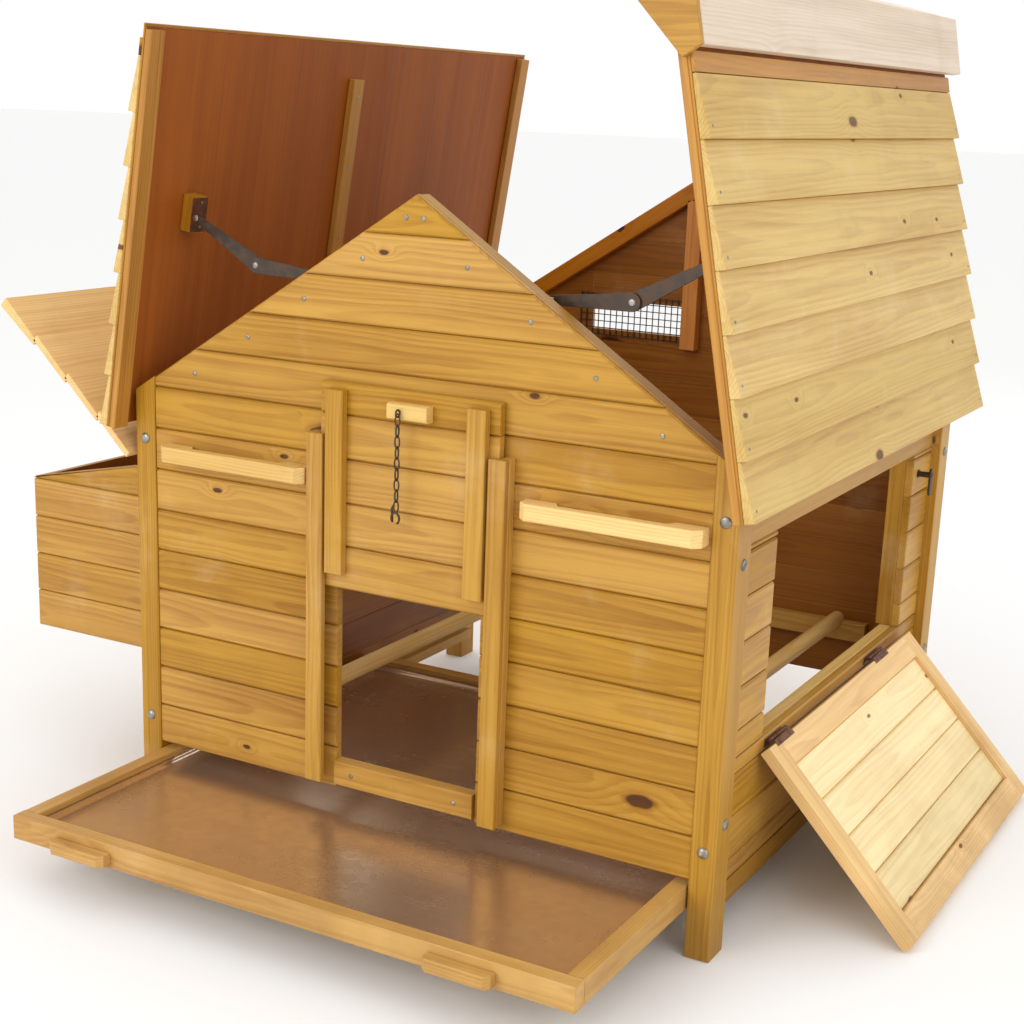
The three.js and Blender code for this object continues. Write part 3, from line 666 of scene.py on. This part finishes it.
def knuckles(x, z, y0, y1, radius=3.2):
    """The rolled barrel of a butt hinge: five knuckles along a pin with a rounded head."""
    edge = np.linspace(y0, y1, 6)
    rolls = [turned([(a + 0.3, radius - 0.5), (a + 0.6, radius), (b - 0.6, radius),
                     (b - 0.3, radius - 0.5)], (x, 0, z), (0, 1, 0), 16)
             for a, b in zip(edge, edge[1:])]
    heads = [turned([(y0 - 1.4, 0.8), (y0 - 1, 2.2), (y0, 2.4)], (x, 0, z), (0, 1, 0), 16),
             turned([(y1, 2.4), (y1 + 1, 2.2), (y1 + 1.4, 0.8)], (x, 0, z), (0, 1, 0), 16)]
    return rolls + heads


NAIL = [(-0.3, 2.4), (0.3, 2.4), (0.7, 1.7), (0.7, 0.4)]
HEAD = [(0, 3.6), (0.5, 3.6), (1.2, 3.0), (1.6, 1.9), (1.6, 0.9), (1.0, 0.7)]
brown_steel = metal("brown lacquered steel", (120, 72, 48), (84, 52, 38), 0.4,
                    metallic=0.6)
lid_hinges = []
for y0 in (150, 580):
    lid_hinges += knuckles(-496, 560, y0, y0 + 70)
    lid_hinges.append(plate((-494.5, y0, 548), (-484.4, y0 + 70, 549)))
fitted("nest_lid_hinges", lid_hinges, brown_steel, "coop")

# ---- Perches and tray runners ----
# Two round dowels run from front to back; the back ends lie in a notched board.  Two rebated
# runners carry the tray.

perches = []
for x in (-235, 330):
    points, faces = turned([(17.8, 12.6), (19, 14), (980.5, 14), (981.8, 12.6)], (x, 0, 220),
                           (0, 1, 0), 40)
    grain = (points - (x, 0, 220))[:, [1, 0, 2]] / 1000 + (chance.uniform(0, 60), 0.01, 0.03)
    perches.append((points, faces, grain, np.full(len(points), 0.5), np.zeros(len(points))))
fitted("perch_dowels", perches, pale_pine, "coop", ["perch_left", "perch_right"])
inside = []
for side in (-1, 1):
    for x0, x1, z0, z1 in ((440, 470, 48, 67.7), (470.1, 484, 48, 81.7)):
        a, b = sorted((side * x0, side * x1))
        inside.append(stick((a, 52.3, z0), (b, 947.7, z1), 1))
rest_top, rest_low = 220, 186
cheek = np.linspace(math.pi, 2 * math.pi, 11)
notched = [(-295, rest_low), (390, rest_low), (390, rest_top)]
for x in (330, -235):
    notched += [(x - 14.6 * math.cos(t), rest_top + 14.6 * math.sin(t)) for t in cheek]
notched.append((-295, rest_top))
inside.append(board(notched, 19.6, (0, 972.8, 0), (1, 0, 0), (0, 0, 1), 0.6, 0.6))
fitted("tray_runners_and_perch_rest", inside, honey_pine, "coop",
       ["tray_runner_left", "tray_runner_right", "perch_rest_back"])

# ---- Droppings tray ----
# A pine frame with two pull blocks on its front rail and a galvanised sheet let into it.

TRAY_Y = (-328, 602)
rails = [stick((-460, TRAY_Y[0], 68), (460, TRAY_Y[0] + 25, 104), 0, ease=1.2),
         stick((-460, TRAY_Y[1] - 25, 68), (460, TRAY_Y[1], 104), 0, ease=1.2)]
for x0 in (-460, 435):
    rails.append(stick((x0, TRAY_Y[0] + 25.3, 68), (x0 + 25, TRAY_Y[1] - 25.3, 104), 1, ease=1.2))
for x in (-325, 300):
    pull = [(x - 50, 0.2), (x + 50, 0.2), (x + 50, -14), (x + 42, -21), (x - 42, -21),
            (x - 50, -14)]
    rails.append(board([(a, b + TRAY_Y[0]) for a, b in pull], 18, (0, 0, 83), (1, 0, 0),
                       (0, 1, 0), 1.4, 1.4))
tray_pine = pine("tray pine", (206, 162, 92), (160, 108, 48), (80, 44, 20))
fitted("tray_rails", rails, tray_pine, "tray",
       ["tray_front_rail", "tray_back_rail", "tray_left_rail", "tray_right_rail"])


def pan(x, y, z, dip):
    """A shallow sheet with its rim turned up: height is a gentle ripple inside, and rises to the
    rim over the last few millimetres, under a thickness of one millimetre."""
    u, v = np.meshgrid(np.linspace(-1, 1, 60), np.linspace(-1, 1, 60), indexing="ij")
    u, v = np.sign(u) * (1 - (1 - np.abs(u)) ** 1.6), np.sign(v) * (1 - (1 - np.abs(v)) ** 1.6)
    edge = np.minimum((1 - np.abs(u)) * (x[1] - x[0]) / 2, (1 - np.abs(v)) * (y[1] - y[0]) / 2)
    rise = np.clip(1 - edge / 5, 0, 1) ** 2 * dip
    ripple = 0.5 * np.sin(3.1 * u + 1.3 * v) * np.cos(2.2 * v - 0.7 * u) * np.clip(edge / 60, 0, 1)
    px, py = (x[0] + x[1]) / 2 + u * (x[1] - x[0]) / 2, (y[0] + y[1]) / 2 + v * (y[1] - y[0]) / 2
    n = u.size
    top = np.stack([px, py, z + ripple + rise], -1).reshape(-1, 3)
    points = np.concatenate([top, top - (0, 0, 1.0)])
    k = np.arange(n).reshape(u.shape)
    quads = np.stack([k[:-1, :-1], k[1:, :-1], k[1:, 1:], k[:-1, 1:]], -1).reshape(-1, 4)
    loop = np.concatenate([k[:, 0], k[-1, 1:], k[-2::-1, -1], k[0, -2:0:-1]])
    skirt = np.stack([loop, loop + n, np.roll(loop, -1) + n, np.roll(loop, -1)], -1)
    return points, np.concatenate([quads, quads[:, ::-1] + n, skirt]).tolist()


def sheet_metal():
    """Satin galvanised sheet, its colour warmed by a painted reflection of the wood around it:
    broad zinc spangle, rolled streaks and smears of dust.
    """
    made, t, skin = started("satin galvanised sheet")
    place = node(t, "ShaderNodeTexCoord").outputs["Object"]
    spangle = node(t, "ShaderNodeTexVoronoi", {"Vector": place, "Scale": 70.0})
    flake = node(t, "ShaderNodeSeparateColor", {"Color": spangle.outputs["Color"]}).outputs[0]
    rolled = noise(t, stretched(t, place, (4, 160, 4)), 1.0, 3.0)
    dust = fade(t, noise(t, place, 6.0, 5.0, 0.65), 0.45, 0.75)
    # painted reflection: the warm beige hue of both spangle colours stands in for the wood
    # reflected in the zinc; the spangle pattern is the zinc's own
    tint = blend_colour(t, sums(t, "MULTIPLY", flake, 0.3), linear(218, 196, 168),
                        linear(188, 164, 138))
    tint = blend_colour(t, sums(t, "MULTIPLY", dust, 0.3), tint, linear(196, 162, 118))
    skin.inputs["Metallic"].default_value = 0.85
    rough = sums(t, "MULTIPLY_ADD", flake, 0.05, 0.2)
    rough = sums(t, "MULTIPLY_ADD", sums(t, "SUBTRACT", rolled, 0.5), 0.12, rough)
    rough = sums(t, "MULTIPLY_ADD", dust, 0.08, rough)
    finished(t, skin, tint, rough, rolled, 0.05, 0.001)
    return made


fitted("tray_sheet_metal", [pan((-434.8, 434.8), (TRAY_Y[0] + 25.4, TRAY_Y[1] - 25.4), 86, 9)],
       sheet_metal(), "tray", ["tray_sheet"], smooth=True)

# ---- Roof halves ----
# Each half is a sheet of stained plywood with seven lapped boards on top and three battens
# underneath, hinged along the eaves; both stand open.

ROOF_TURN = {-1: math.radians(48.6), 1: math.radians(46.1)}
ROOF_Y, ROOF_R, LAP = (-44, 1068), (-57, 540), 78.6
DECK_N, BATTEN_N = (8, 11.5), (-4, 7.7)          # how far each layer stands out of the slope
LAP_N, LAP_HEAD, LAP_LIP, BATTEN_W = 11.8, 17, 27, 31


def roof_at(side, r, n):
    """The open roof's section: r up the panel from the hinge line, n out of it."""
    a = SLOPE + ROOF_TURN[side]
    return (side * (HALF - r * math.cos(a) + n * math.sin(a)),
            EAVE + r * math.sin(a) + n * math.cos(a))


def roof_bar(side, corners, y0, y1, ease=0.8, tone=None, through=True):
    """A stick or sheet on the roof, given by its section in places up the slope and out of it."""
    a = SLOPE + ROOF_TURN[side]
    x, z = roof_at(side, 0, 0)
    return board(softened(corners, 0.8), y1 - y0, (x, (y0 + y1) / 2, z),
                 (-side * math.cos(a), 0, math.sin(a)), (side * math.sin(a), 0, math.cos(a)), ease,
                 ease, tone, through)


def up_slope(side, r0, r1, n0, n1, y0, y1, tone=None):
    """A batten or leaf whose length runs up the slope."""
    a = SLOPE + ROOF_TURN[side]
    along = np.array([-side * math.cos(a), 0, math.sin(a)])
    out = np.array([side * math.sin(a), 0, math.cos(a)])
    x, z = roof_at(side, (r0 + r1) / 2, (n0 + n1) / 2)
    outline = oblong((r1 - r0) / 2, (n1 - n0) / 2)
    ease = min(1.2, (r1 - r0) / 5, (n1 - n0) / 5, (y1 - y0) / 5)
    return board(outline, y1 - y0, (x, (y0 + y1) / 2, z), along, out, ease, ease, tone)


plywood = pine("red brown plywood", (160, 86, 20), (120, 54, 9), (60, 26, 8),
               contrast=0.1, knots=0.0, bleach=0.0, shine=0.6, rings=26.0)
batten_pine = pine("stained batten pine", (188, 132, 48), (138, 84, 22),
                   (70, 34, 12), bleach=0.0)
lap_pine = pine("lap board pine", (218, 186, 116), (176, 132, 64), (92, 54, 26),
                knots=0.38, bleach=0.2, shine=0.55)
for side, hand in ((-1, "left"), (1, "right")):
    body, a = f"roof_{hand}", SLOPE + ROOF_TURN[side]
    (r0, r1), (y0, y1), lip = ROOF_R, ROOF_Y, 5
    low, top = DECK_N
    deck = roof_bar(side, [(r0, low), (r1 - lip, low), (r1 - lip, top), (r0, top)], y0 + lip,
                    y1 - lip, ease=0.4, tone=0.5, through=False)
    fitted(f"roof_plywood_{hand}", [deck], plywood, body,
           [f"roof_deck_{hand}"])
    laps, nails = [], []
    for k in range(7):
        r = r0 + k * LAP
        far = r + LAP - 0.2
        laps.append(roof_bar(side, [(r, LAP_N), (far, LAP_N), (far, LAP_HEAD), (r, LAP_LIP)],
                             y0, y1, ease=1.2))
        for y in (y0 + 14, y1 - 14):
            x, z = roof_at(side, r + 14, 25.1)
            out = (side * math.sin(a + 0.13), 0, math.cos(a + 0.13))
            nails.append(turned(NAIL, (x, y, z), out, 12))
    fitted(f"roof_lap_boards_{hand}", laps, lap_pine, body,
           [f"roof_cladding_{hand}"])
    bars = [up_slope(side, r0, 532, *BATTEN_N, y0, y0 + BATTEN_W, 0.8),
            up_slope(side, 60, 478, *BATTEN_N, 476, 506, 0.7),
            up_slope(side, r0, 532, *BATTEN_N, y1 - BATTEN_W, y1, 0.8),
            roof_bar(side, [(494, LAP_N), (519, LAP_N), (519, LAP_HEAD), (494, LAP_HEAD)], y0, y1),
            roof_bar(side, [(r1 - lip + 0.2, low), (r1, low), (r1, top), (r1 - lip + 0.2, top)],
                     y0, y1, ease=0.4)]
    bars += [up_slope(side, r0, r1 - lip, low, top, *ends)
             for ends in ((y0, y0 + lip - 0.2), (y1 - lip + 0.2, y1))]
    fitted(f"roof_battens_{hand}", bars, batten_pine, body,
           [f"roof_batten_{which}_{hand}" for which in ("front", "middle", "back")])
    block = up_slope(side, 240, 296, -17, 7.8, 76, 104)
    fitted(f"roof_stay_block_{hand}", [block], batten_pine, body)
    inward = (-side * math.sin(a), 0, -math.cos(a))
    for y, n, places in ((491, -4, (90, 210, 330, 450)), (90, -18.6, (249, 287))):
        for r in places:
            x, z = roof_at(side, r, n)
            nails.append(turned(NAIL, (x, y, z), inward, 12))
    fitted(f"roof_nails_{hand}", nails, zinc, body)

# ---- Ridge cap ----
# Two boards nailed in an inverted V with a five-sided plate over the front end; it is fixed to
# the right half and laps over the left one when the roof is shut.


def cap_at(side, r, n):
    """A point of the shut roof's section, carried up with the right half."""
    x = side * (HALF - r * math.cos(SLOPE) + n * math.sin(SLOPE)) - HALF
    z = r * math.sin(SLOPE) + n * math.cos(SLOPE)
    c, s = math.cos(ROOF_TURN[1]), math.sin(ROOF_TURN[1])
    return HALF + x * c + z * s, EAVE - x * s + z * c


CAP_R, CAP_N = 523, (18, 33)             # where a wing starts, and its two faces
RIDGE_R = HALF / math.cos(SLOPE)
cap_pine = pine("ridge board pine", (224, 206, 184), (192, 164, 134),
                (104, 70, 42))
ridge = []
for side in (1, -1):
    lean = math.tan(SLOPE)
    under, over = CAP_N
    wing = [cap_at(side, r, n) for r, n in ((CAP_R, under), (CAP_R, over),
                                            (RIDGE_R + over * lean, over),
                                            (RIDGE_R + under * lean, under))]
    wing = [np.array(p) for p in wing]
    ridge.append(length_of(softened(wing, 0.9), -46, 1089))
plate_ = [cap_at(1, CAP_R, over), cap_at(1, RIDGE_R + over * lean, over), cap_at(-1, CAP_R, over),
          cap_at(-1, 512, 6), cap_at(1, 512, 6)]
end_plate = board(plate_, 9.4, (0, -51, 0), (1, 0, 0), (0, 0, 1), 0.8, 0.8)
fitted("ridge_cap_end_plate", [end_plate], honey_pine, "roof_right")
fitted("ridge_cap_boards", ridge, cap_pine, "roof_right", ["ridge_cap"])

# ---- Roof hinges and stays ----
# Three steel butt hinges along each eave, and an elbow stay of two flat links, riveted, that
# holds each half open.

for side, hand in ((-1, "left"), (1, "right")):
    fixed_leaves, moving_leaves = [], []
    for y0 in (120, 465, 800):
        fixed_leaves += knuckles(side * HALF, EAVE, y0, y0 + 75)
        leaf = plate((4, y0 + 1, -0.9), (30, y0 + 74, -0.1))
        for shells, turn in ((fixed_leaves, 0), (moving_leaves, ROOF_TURN[side])):
            points = leaf[0].copy()
            if shells is moving_leaves:
                points[:, 2] += 8.8
            a = SLOPE + turn
            r, n = points[:, 0].copy(), points[:, 2].copy()
            points[:, 0] = side * (HALF - r * math.cos(a) + n * math.sin(a))
            points[:, 2] = EAVE + r * math.sin(a) + n * math.cos(a)
            faces = leaf[1] if side < 0 else [f[::-1] for f in leaf[1]]
            shells.append((points, faces))
    fitted(f"roof_hinges_{hand}", fixed_leaves, brown_steel, "coop")
    fitted(f"roof_hinge_leaves_{hand}", moving_leaves, brown_steel, f"roof_{hand}")


LINK_ENDS = 6, 12.5                      # radius of a link's end at either pin


def link(ax, az, bx, bz, y0, y1):
    """A flat link between two pins: straight sides tangent to a round end on each pin."""
    a, b = np.array([ax, az]), np.array([bx, bz])
    d = (b - a) / np.linalg.norm(b - a)
    n = np.array([-d[1], d[0]])
    t = np.linspace(-math.pi / 2, math.pi / 2, 13)
    cap_b = b + LINK_ENDS[1] * (np.cos(t)[:, None] * d + np.sin(t)[:, None] * n)
    cap_a = a - LINK_ENDS[0] * (np.cos(t)[:, None] * d + np.sin(t)[:, None] * n)
    return board(np.concatenate([cap_b, cap_a]), y1 - y0, (0, (y0 + y1) / 2, 0), (1, 0, 0),
                 (0, 0, 1), 0.4, 0.4)[:2]


STAY_LINK, STAY_PIN = 130, (267, -30)   # pin to pin, and the upper pin's place on the slope
RIVET = [(-4.6, 2.0), (-4.2, 4.2), (-3.4, 5.2), (-3.0, 5.3), (3.0, 5.3), (3.4, 5.2), (4.2, 4.2),
         (4.6, 2.0)]
for side, hand in ((-1, "left"), (1, "right")):
    wall, roof_pin = np.array(STAY_FOOT[side]), np.array(roof_at(side, *STAY_PIN))
    across = roof_pin - wall
    span = np.linalg.norm(across)
    sag = math.sqrt(STAY_LINK ** 2 - (span / 2) ** 2)
    elbow = (wall + roof_pin) / 2 + side * np.array([across[1], -across[0]]) / span * sag
    upper = [link(*roof_pin, *elbow, 64.5, 67)]
    lower = [link(*wall, *elbow, 61, 63.5), turned(RIVET, (wall[0], 61.2, wall[1]), (0, 1, 0))]
    rivets = [turned(RIVET, (elbow[0], 64, elbow[1]), (0, 1, 0)),
              turned(RIVET, (roof_pin[0], 66.2, roof_pin[1]), (0, 1, 0))]
    bracket = [up_slope(side, 242, 294, -18.4, -17.2, 69, 104)[:2],
               up_slope(side, 258, 276, -37, -18.5, 68, 69.6)[:2]]
    fitted(f"stay_bracket_{hand}", bracket, brown_steel, f"roof_{hand}")
    fitted(f"stay_rivets_{hand}", rivets, zinc, f"stay_upper_{hand}")
    fitted(f"stay_link_upper_{hand}", upper, black_steel, f"stay_upper_{hand}",
           [f"stay_upper_{hand}"])
    fitted(f"stay_link_lower_{hand}", lower, black_steel, f"stay_lower_{hand}",
           [f"stay_lower_{hand}"])

# ---- Pop door ----
# Five short boards on two upright battens, with a block and a screw eye that the chain hangs
# from.

pop = courses(-143, 153, 433, 737, -12, "front", thick=12)
pop += [stick((-127, -26, 458), (-97, -12.1, 728), 2, ease=1.2),
        stick((107, -26, 458), (137, -12.1, 727), 2, ease=1.2)]
fitted("pop_door_boards", pop, honey_pine, "pop_door", ["pop_door"])
fitted("pop_door_block", [stick((-20, -30, 698), (46, -12.1, 721), 0, ease=1.4)], pale_pine,
       "pop_door")


def tube(path, radius, closed=True, sides=8):
    """A round wire along a path: a ring at each point, in the plane square to the path there."""
    p = np.asarray(path, float)
    ahead = np.roll(p, -1, 0) - np.roll(p, 1, 0)
    if not closed:
        ahead[0], ahead[-1] = p[1] - p[0], p[-1] - p[-2]
    ahead /= np.linalg.norm(ahead, axis=1)[:, None]
    spread = np.linalg.svd(p - p.mean(0))[2]
    flat = spread[2]
    out = np.cross(ahead, flat)
    out /= np.linalg.norm(out, axis=1)[:, None]
    up = np.cross(ahead, out)
    t = np.linspace(0, 2 * np.pi, sides, endpoint=False)
    points = p[:, None] + radius * (np.cos(t)[None, :, None] * out[:, None]
                                    + np.sin(t)[None, :, None] * up[:, None])
    n, i, j = len(p), np.arange(sides), np.roll(np.arange(sides), -1)
    faces = []
    for k in range(n if closed else n - 1):
        a, b = k * sides, (k + 1) % n * sides
        faces += np.stack([a + i, a + j, b + j, b + i], 1).tolist()
    if not closed:
        faces += [i[::-1].tolist(), ((n - 1) * sides + i).tolist()]
    return points.reshape(-1, 3), faces


turn = np.linspace(0, 2 * np.pi, 24, endpoint=False)
eye = tube(np.stack([np.full(24, 2.5), -35.5 + 5 * np.cos(turn), 709 + 5 * np.sin(turn)], 1), 1.4)
shank = turned([(0, 1.5), (6, 1.5)], (2.5, -31, 709), (0, 1, 0), 12)
fitted("pop_door_eye", [eye, shank], black_steel, "pop_door", smooth=True)
chain = []
turn = np.linspace(0, 2 * np.pi, 20, endpoint=False)
for k in range(9):
    wide, tall = 3.75 * np.cos(turn), 8.75 * np.sin(turn)
    centre = np.array([2.5, -35.5, 699.4 - k * 15.3])
    zero = np.zeros(20)
    loop = np.stack([zero, wide, tall] if k % 2 else [wide, zero, tall], 1)
    chain.append(tube(centre + loop, 1.3, sides=6))
t = np.linspace(-0.35, 1.25, 22) * math.pi
hook = np.stack([2.5 + 6.5 * np.cos(t) - 1, np.full(22, -35.5), 566 + 8 * np.sin(t) - 6], 1)
hook = np.concatenate([hook, [(-4.5, -35.5, 574), (-1, -35.5, 579)]])
chain.append(tube(hook, 1.7, closed=False))
fitted("pop_chain_links", chain, black_steel, "pop_door_chain",
       ["pop_door_chain"], smooth=True)

# ---- Side door ----
# A half-lapped frame with four boards let into it, hung on two butt hinges along its foot and
# dropped open.

DOOR_TURN, DOOR_PIN = math.radians(136.6), (492, 260)
door_pine = pine("door pine", (250, 228, 172), (222, 188, 126), (140, 96, 54),
                 knots=0.3, grime=0.16, bleach=0.3)
lo, hi = (486, 176, 268), (504, 856, 604)
door = [stick((lo[0], lo[1], lo[2]), (hi[0], lo[1] + 40, hi[2]), 2),
        stick((lo[0], hi[1] - 40, lo[2]), (hi[0], hi[1], hi[2]), 2),
        stick((lo[0], lo[1] + 40.2, lo[2]), (hi[0], hi[1] - 40.2, lo[2] + 40), 1),
        stick((lo[0], lo[1] + 40.2, hi[2] - 40), (hi[0], hi[1] - 40.2, hi[2]), 1)]
door = [spun(shell, *DOOR_PIN, DOOR_TURN) for shell in door]
fitted("side_door_frame_sticks", door, lid_pine, "side_door",
       ["side_door_frame"])
door = []
cuts = np.linspace(308.3, 563.7, 5)
for low, high in zip(cuts, cuts[1:]):
    door.append(board([(-815.8, low), (-216.2, low), (-216.2, high), (-815.8, high)], 11,
                      (498.5, 0, 0), (0, -1, 0), (0, 0, 1), 2.2, 1.0))
door = [spun(shell, *DOOR_PIN, DOOR_TURN) for shell in door]
fitted("side_door_panel", door, door_pine, "side_door", ["side_door_boards"])
fixed_part, moving_part = [], []
for y0, y1 in ((200, 268), (655, 723)):
    fixed_part += knuckles(*DOOR_PIN, y0, y1, 3.2)
    fixed_part.append(plate((484.3, y0 + 1, 247), (485.5, y1 - 1, 259)))
    moving_part.append(spun(plate((485.2, y0 + 1, 264), (486.2, y1 - 1, 274)), *DOOR_PIN,
                            DOOR_TURN))
    for y in (y0 + 14, y1 - 14):
        moving_part.append(spun(turned(NAIL, (485.2, y, 270), (-1, 0, 0), 12), *DOOR_PIN,
                                DOOR_TURN))
fitted("side_door_hinges", fixed_part, brown_steel, "coop")
fitted("side_door_hinge_leaves", moving_part, brown_steel, "side_door")

# ---- Door button ----
# A black steel turn button on a stem beside the side door opening.

arm = [(868, 543), (868, 505), (870, 501), (875, 499), (880, 501), (882, 505), (882, 543),
       (879, 546), (871, 546)]
button = [board(arm, 4, (506.8, 0, 0), (0, 1, 0), (0, 0, 1), 0.8, 0.8)[:2],
          turned([(0, 7), (2, 7), (2.6, 5), (20, 5), (24.4, 5), (25.6, 3.5), (26, 1)],
                 (484.3, 875, 535), (1, 0, 0))]
fitted("door_turn_button", button, black_steel, "door_button", ["door_button"])

# ---- Bolts and screws ----
# Domed zinc bolts hold the walls to the posts; countersunk screws hold the gable boards.

BOLT = [(0, 8.2), (1.2, 8.0), (2.6, 6.6), (3.6, 4.2), (4.0, 1.4)]
bolts = [turned(BOLT, (x, 0.1, z), (0, -1, 0)) for x, z in
         ((-481.5, 609), (-481.5, 156), (481.5, 619), (481.5, 159))]
bolts += [turned(BOLT, (x, 999.9, z), (0, 1, 0)) for x in (-481.5, 481.5) for z in (156, 612)]
bolts += [turned(BOLT, (side * 500, y, z), (side, 0, 0)) for side in (-1, 1)
          for y in (26, 974) for z in (196, 560)]
bolts += [turned(HEAD, (x, -4, 140), (0, -1, 0)) for x in (-90, 90)]
for y, axis in ((FRONT_FACE, (0, -1, 0)), (BACK_FACE, (0, 1, 0))):
    for k, (low, high) in enumerate(gable_rows):
        reach = min(BETWEEN - 14, (APEX - high) / math.tan(SLOPE) - 4 if k < 4 else 14)
        for x in (-reach, reach):
            bolts.append(turned(HEAD, (x, y, (low + high) / 2 - 4), axis, 14))
fitted("bolts_and_screws", bolts, zinc, "coop")

# ---- Floor, light and camera ----
# A pale floor under soft boxes, seen from the front right.

floor_mesh = bpy.data.meshes.new("floor")
floor_mesh.from_pydata([(x, y, 0) for x, y in oblong(60, 60)], [], [(0, 1, 2, 3)])
floor_paint, _, skin = started("pale floor")
skin.inputs["Base Color"].default_value = (0.94, 0.94, 0.935, 1)
skin.inputs["Roughness"].default_value = 0.85
floor_mesh.materials.append(floor_paint)
floor = bpy.data.objects.new("floor", floor_mesh)
floor.location = (0, 0, -0.0005)
bpy.context.collection.objects.link(floor)


def soft_box(name, place, aim, size, power, colour=(1, 1, 1)):
    """A square area light at a place, turned to a point."""
    lamp = bpy.data.lights.new(name, "AREA")
    lamp.shape, lamp.size, lamp.energy, lamp.color = "SQUARE", size, power, colour
    made = bpy.data.objects.new(name, lamp)
    made.location = place
    made.rotation_mode = "QUATERNION"
    made.rotation_quaternion = (Vector(aim) - Vector(place)).to_track_quat("-Z", "Y")
    bpy.context.collection.objects.link(made)


soft_box("key", (-1.4, -4.0, 2.2), (0, 0, 0.35), 2.2, 58)
soft_box("fill", (3.6, -2.2, 2.2), (0, 0, 0.5), 2.4, 24)
soft_box("back", (0.5, 3.8, 3.2), (0, 0, 0.6), 2.4, 14)
scene = bpy.context.scene
scene.view_settings.view_transform = "Standard"
world = bpy.data.worlds.new("studio")
scene.world = world
world.use_nodes = True
world.node_tree.nodes["Background"].inputs["Color"].default_value = (1, 1, 1, 1)
world.node_tree.nodes["Background"].inputs["Strength"].default_value = 1.0

yaw, pitch, roll = (math.radians(a) for a in (28.7409, -15.1615, 2.0855))
look = Vector((-math.sin(yaw) * math.cos(pitch), math.cos(yaw) * math.cos(pitch), math.sin(pitch)))
level_right = Vector((math.cos(yaw), math.sin(yaw), 0))
level_up = level_right.cross(look)
right = level_right * math.cos(roll) + level_up * math.sin(roll)
up = level_up * math.cos(roll) - level_right * math.sin(roll)
lens = bpy.data.cameras.new("camera")
lens.lens, lens.sensor_width, lens.shift_y = 60.0, 36.0, 0.0518
lens.clip_end = 200
camera = bpy.data.objects.new("camera", lens)
turn = Matrix((right, up, -look)).transposed().to_4x4()
place = np.array([1.2654, -1.9947, 1.1287]) + DRAWING
camera.matrix_world = Matrix.Translation(place) @ turn
bpy.context.collection.objects.link(camera)
scene.camera = camera
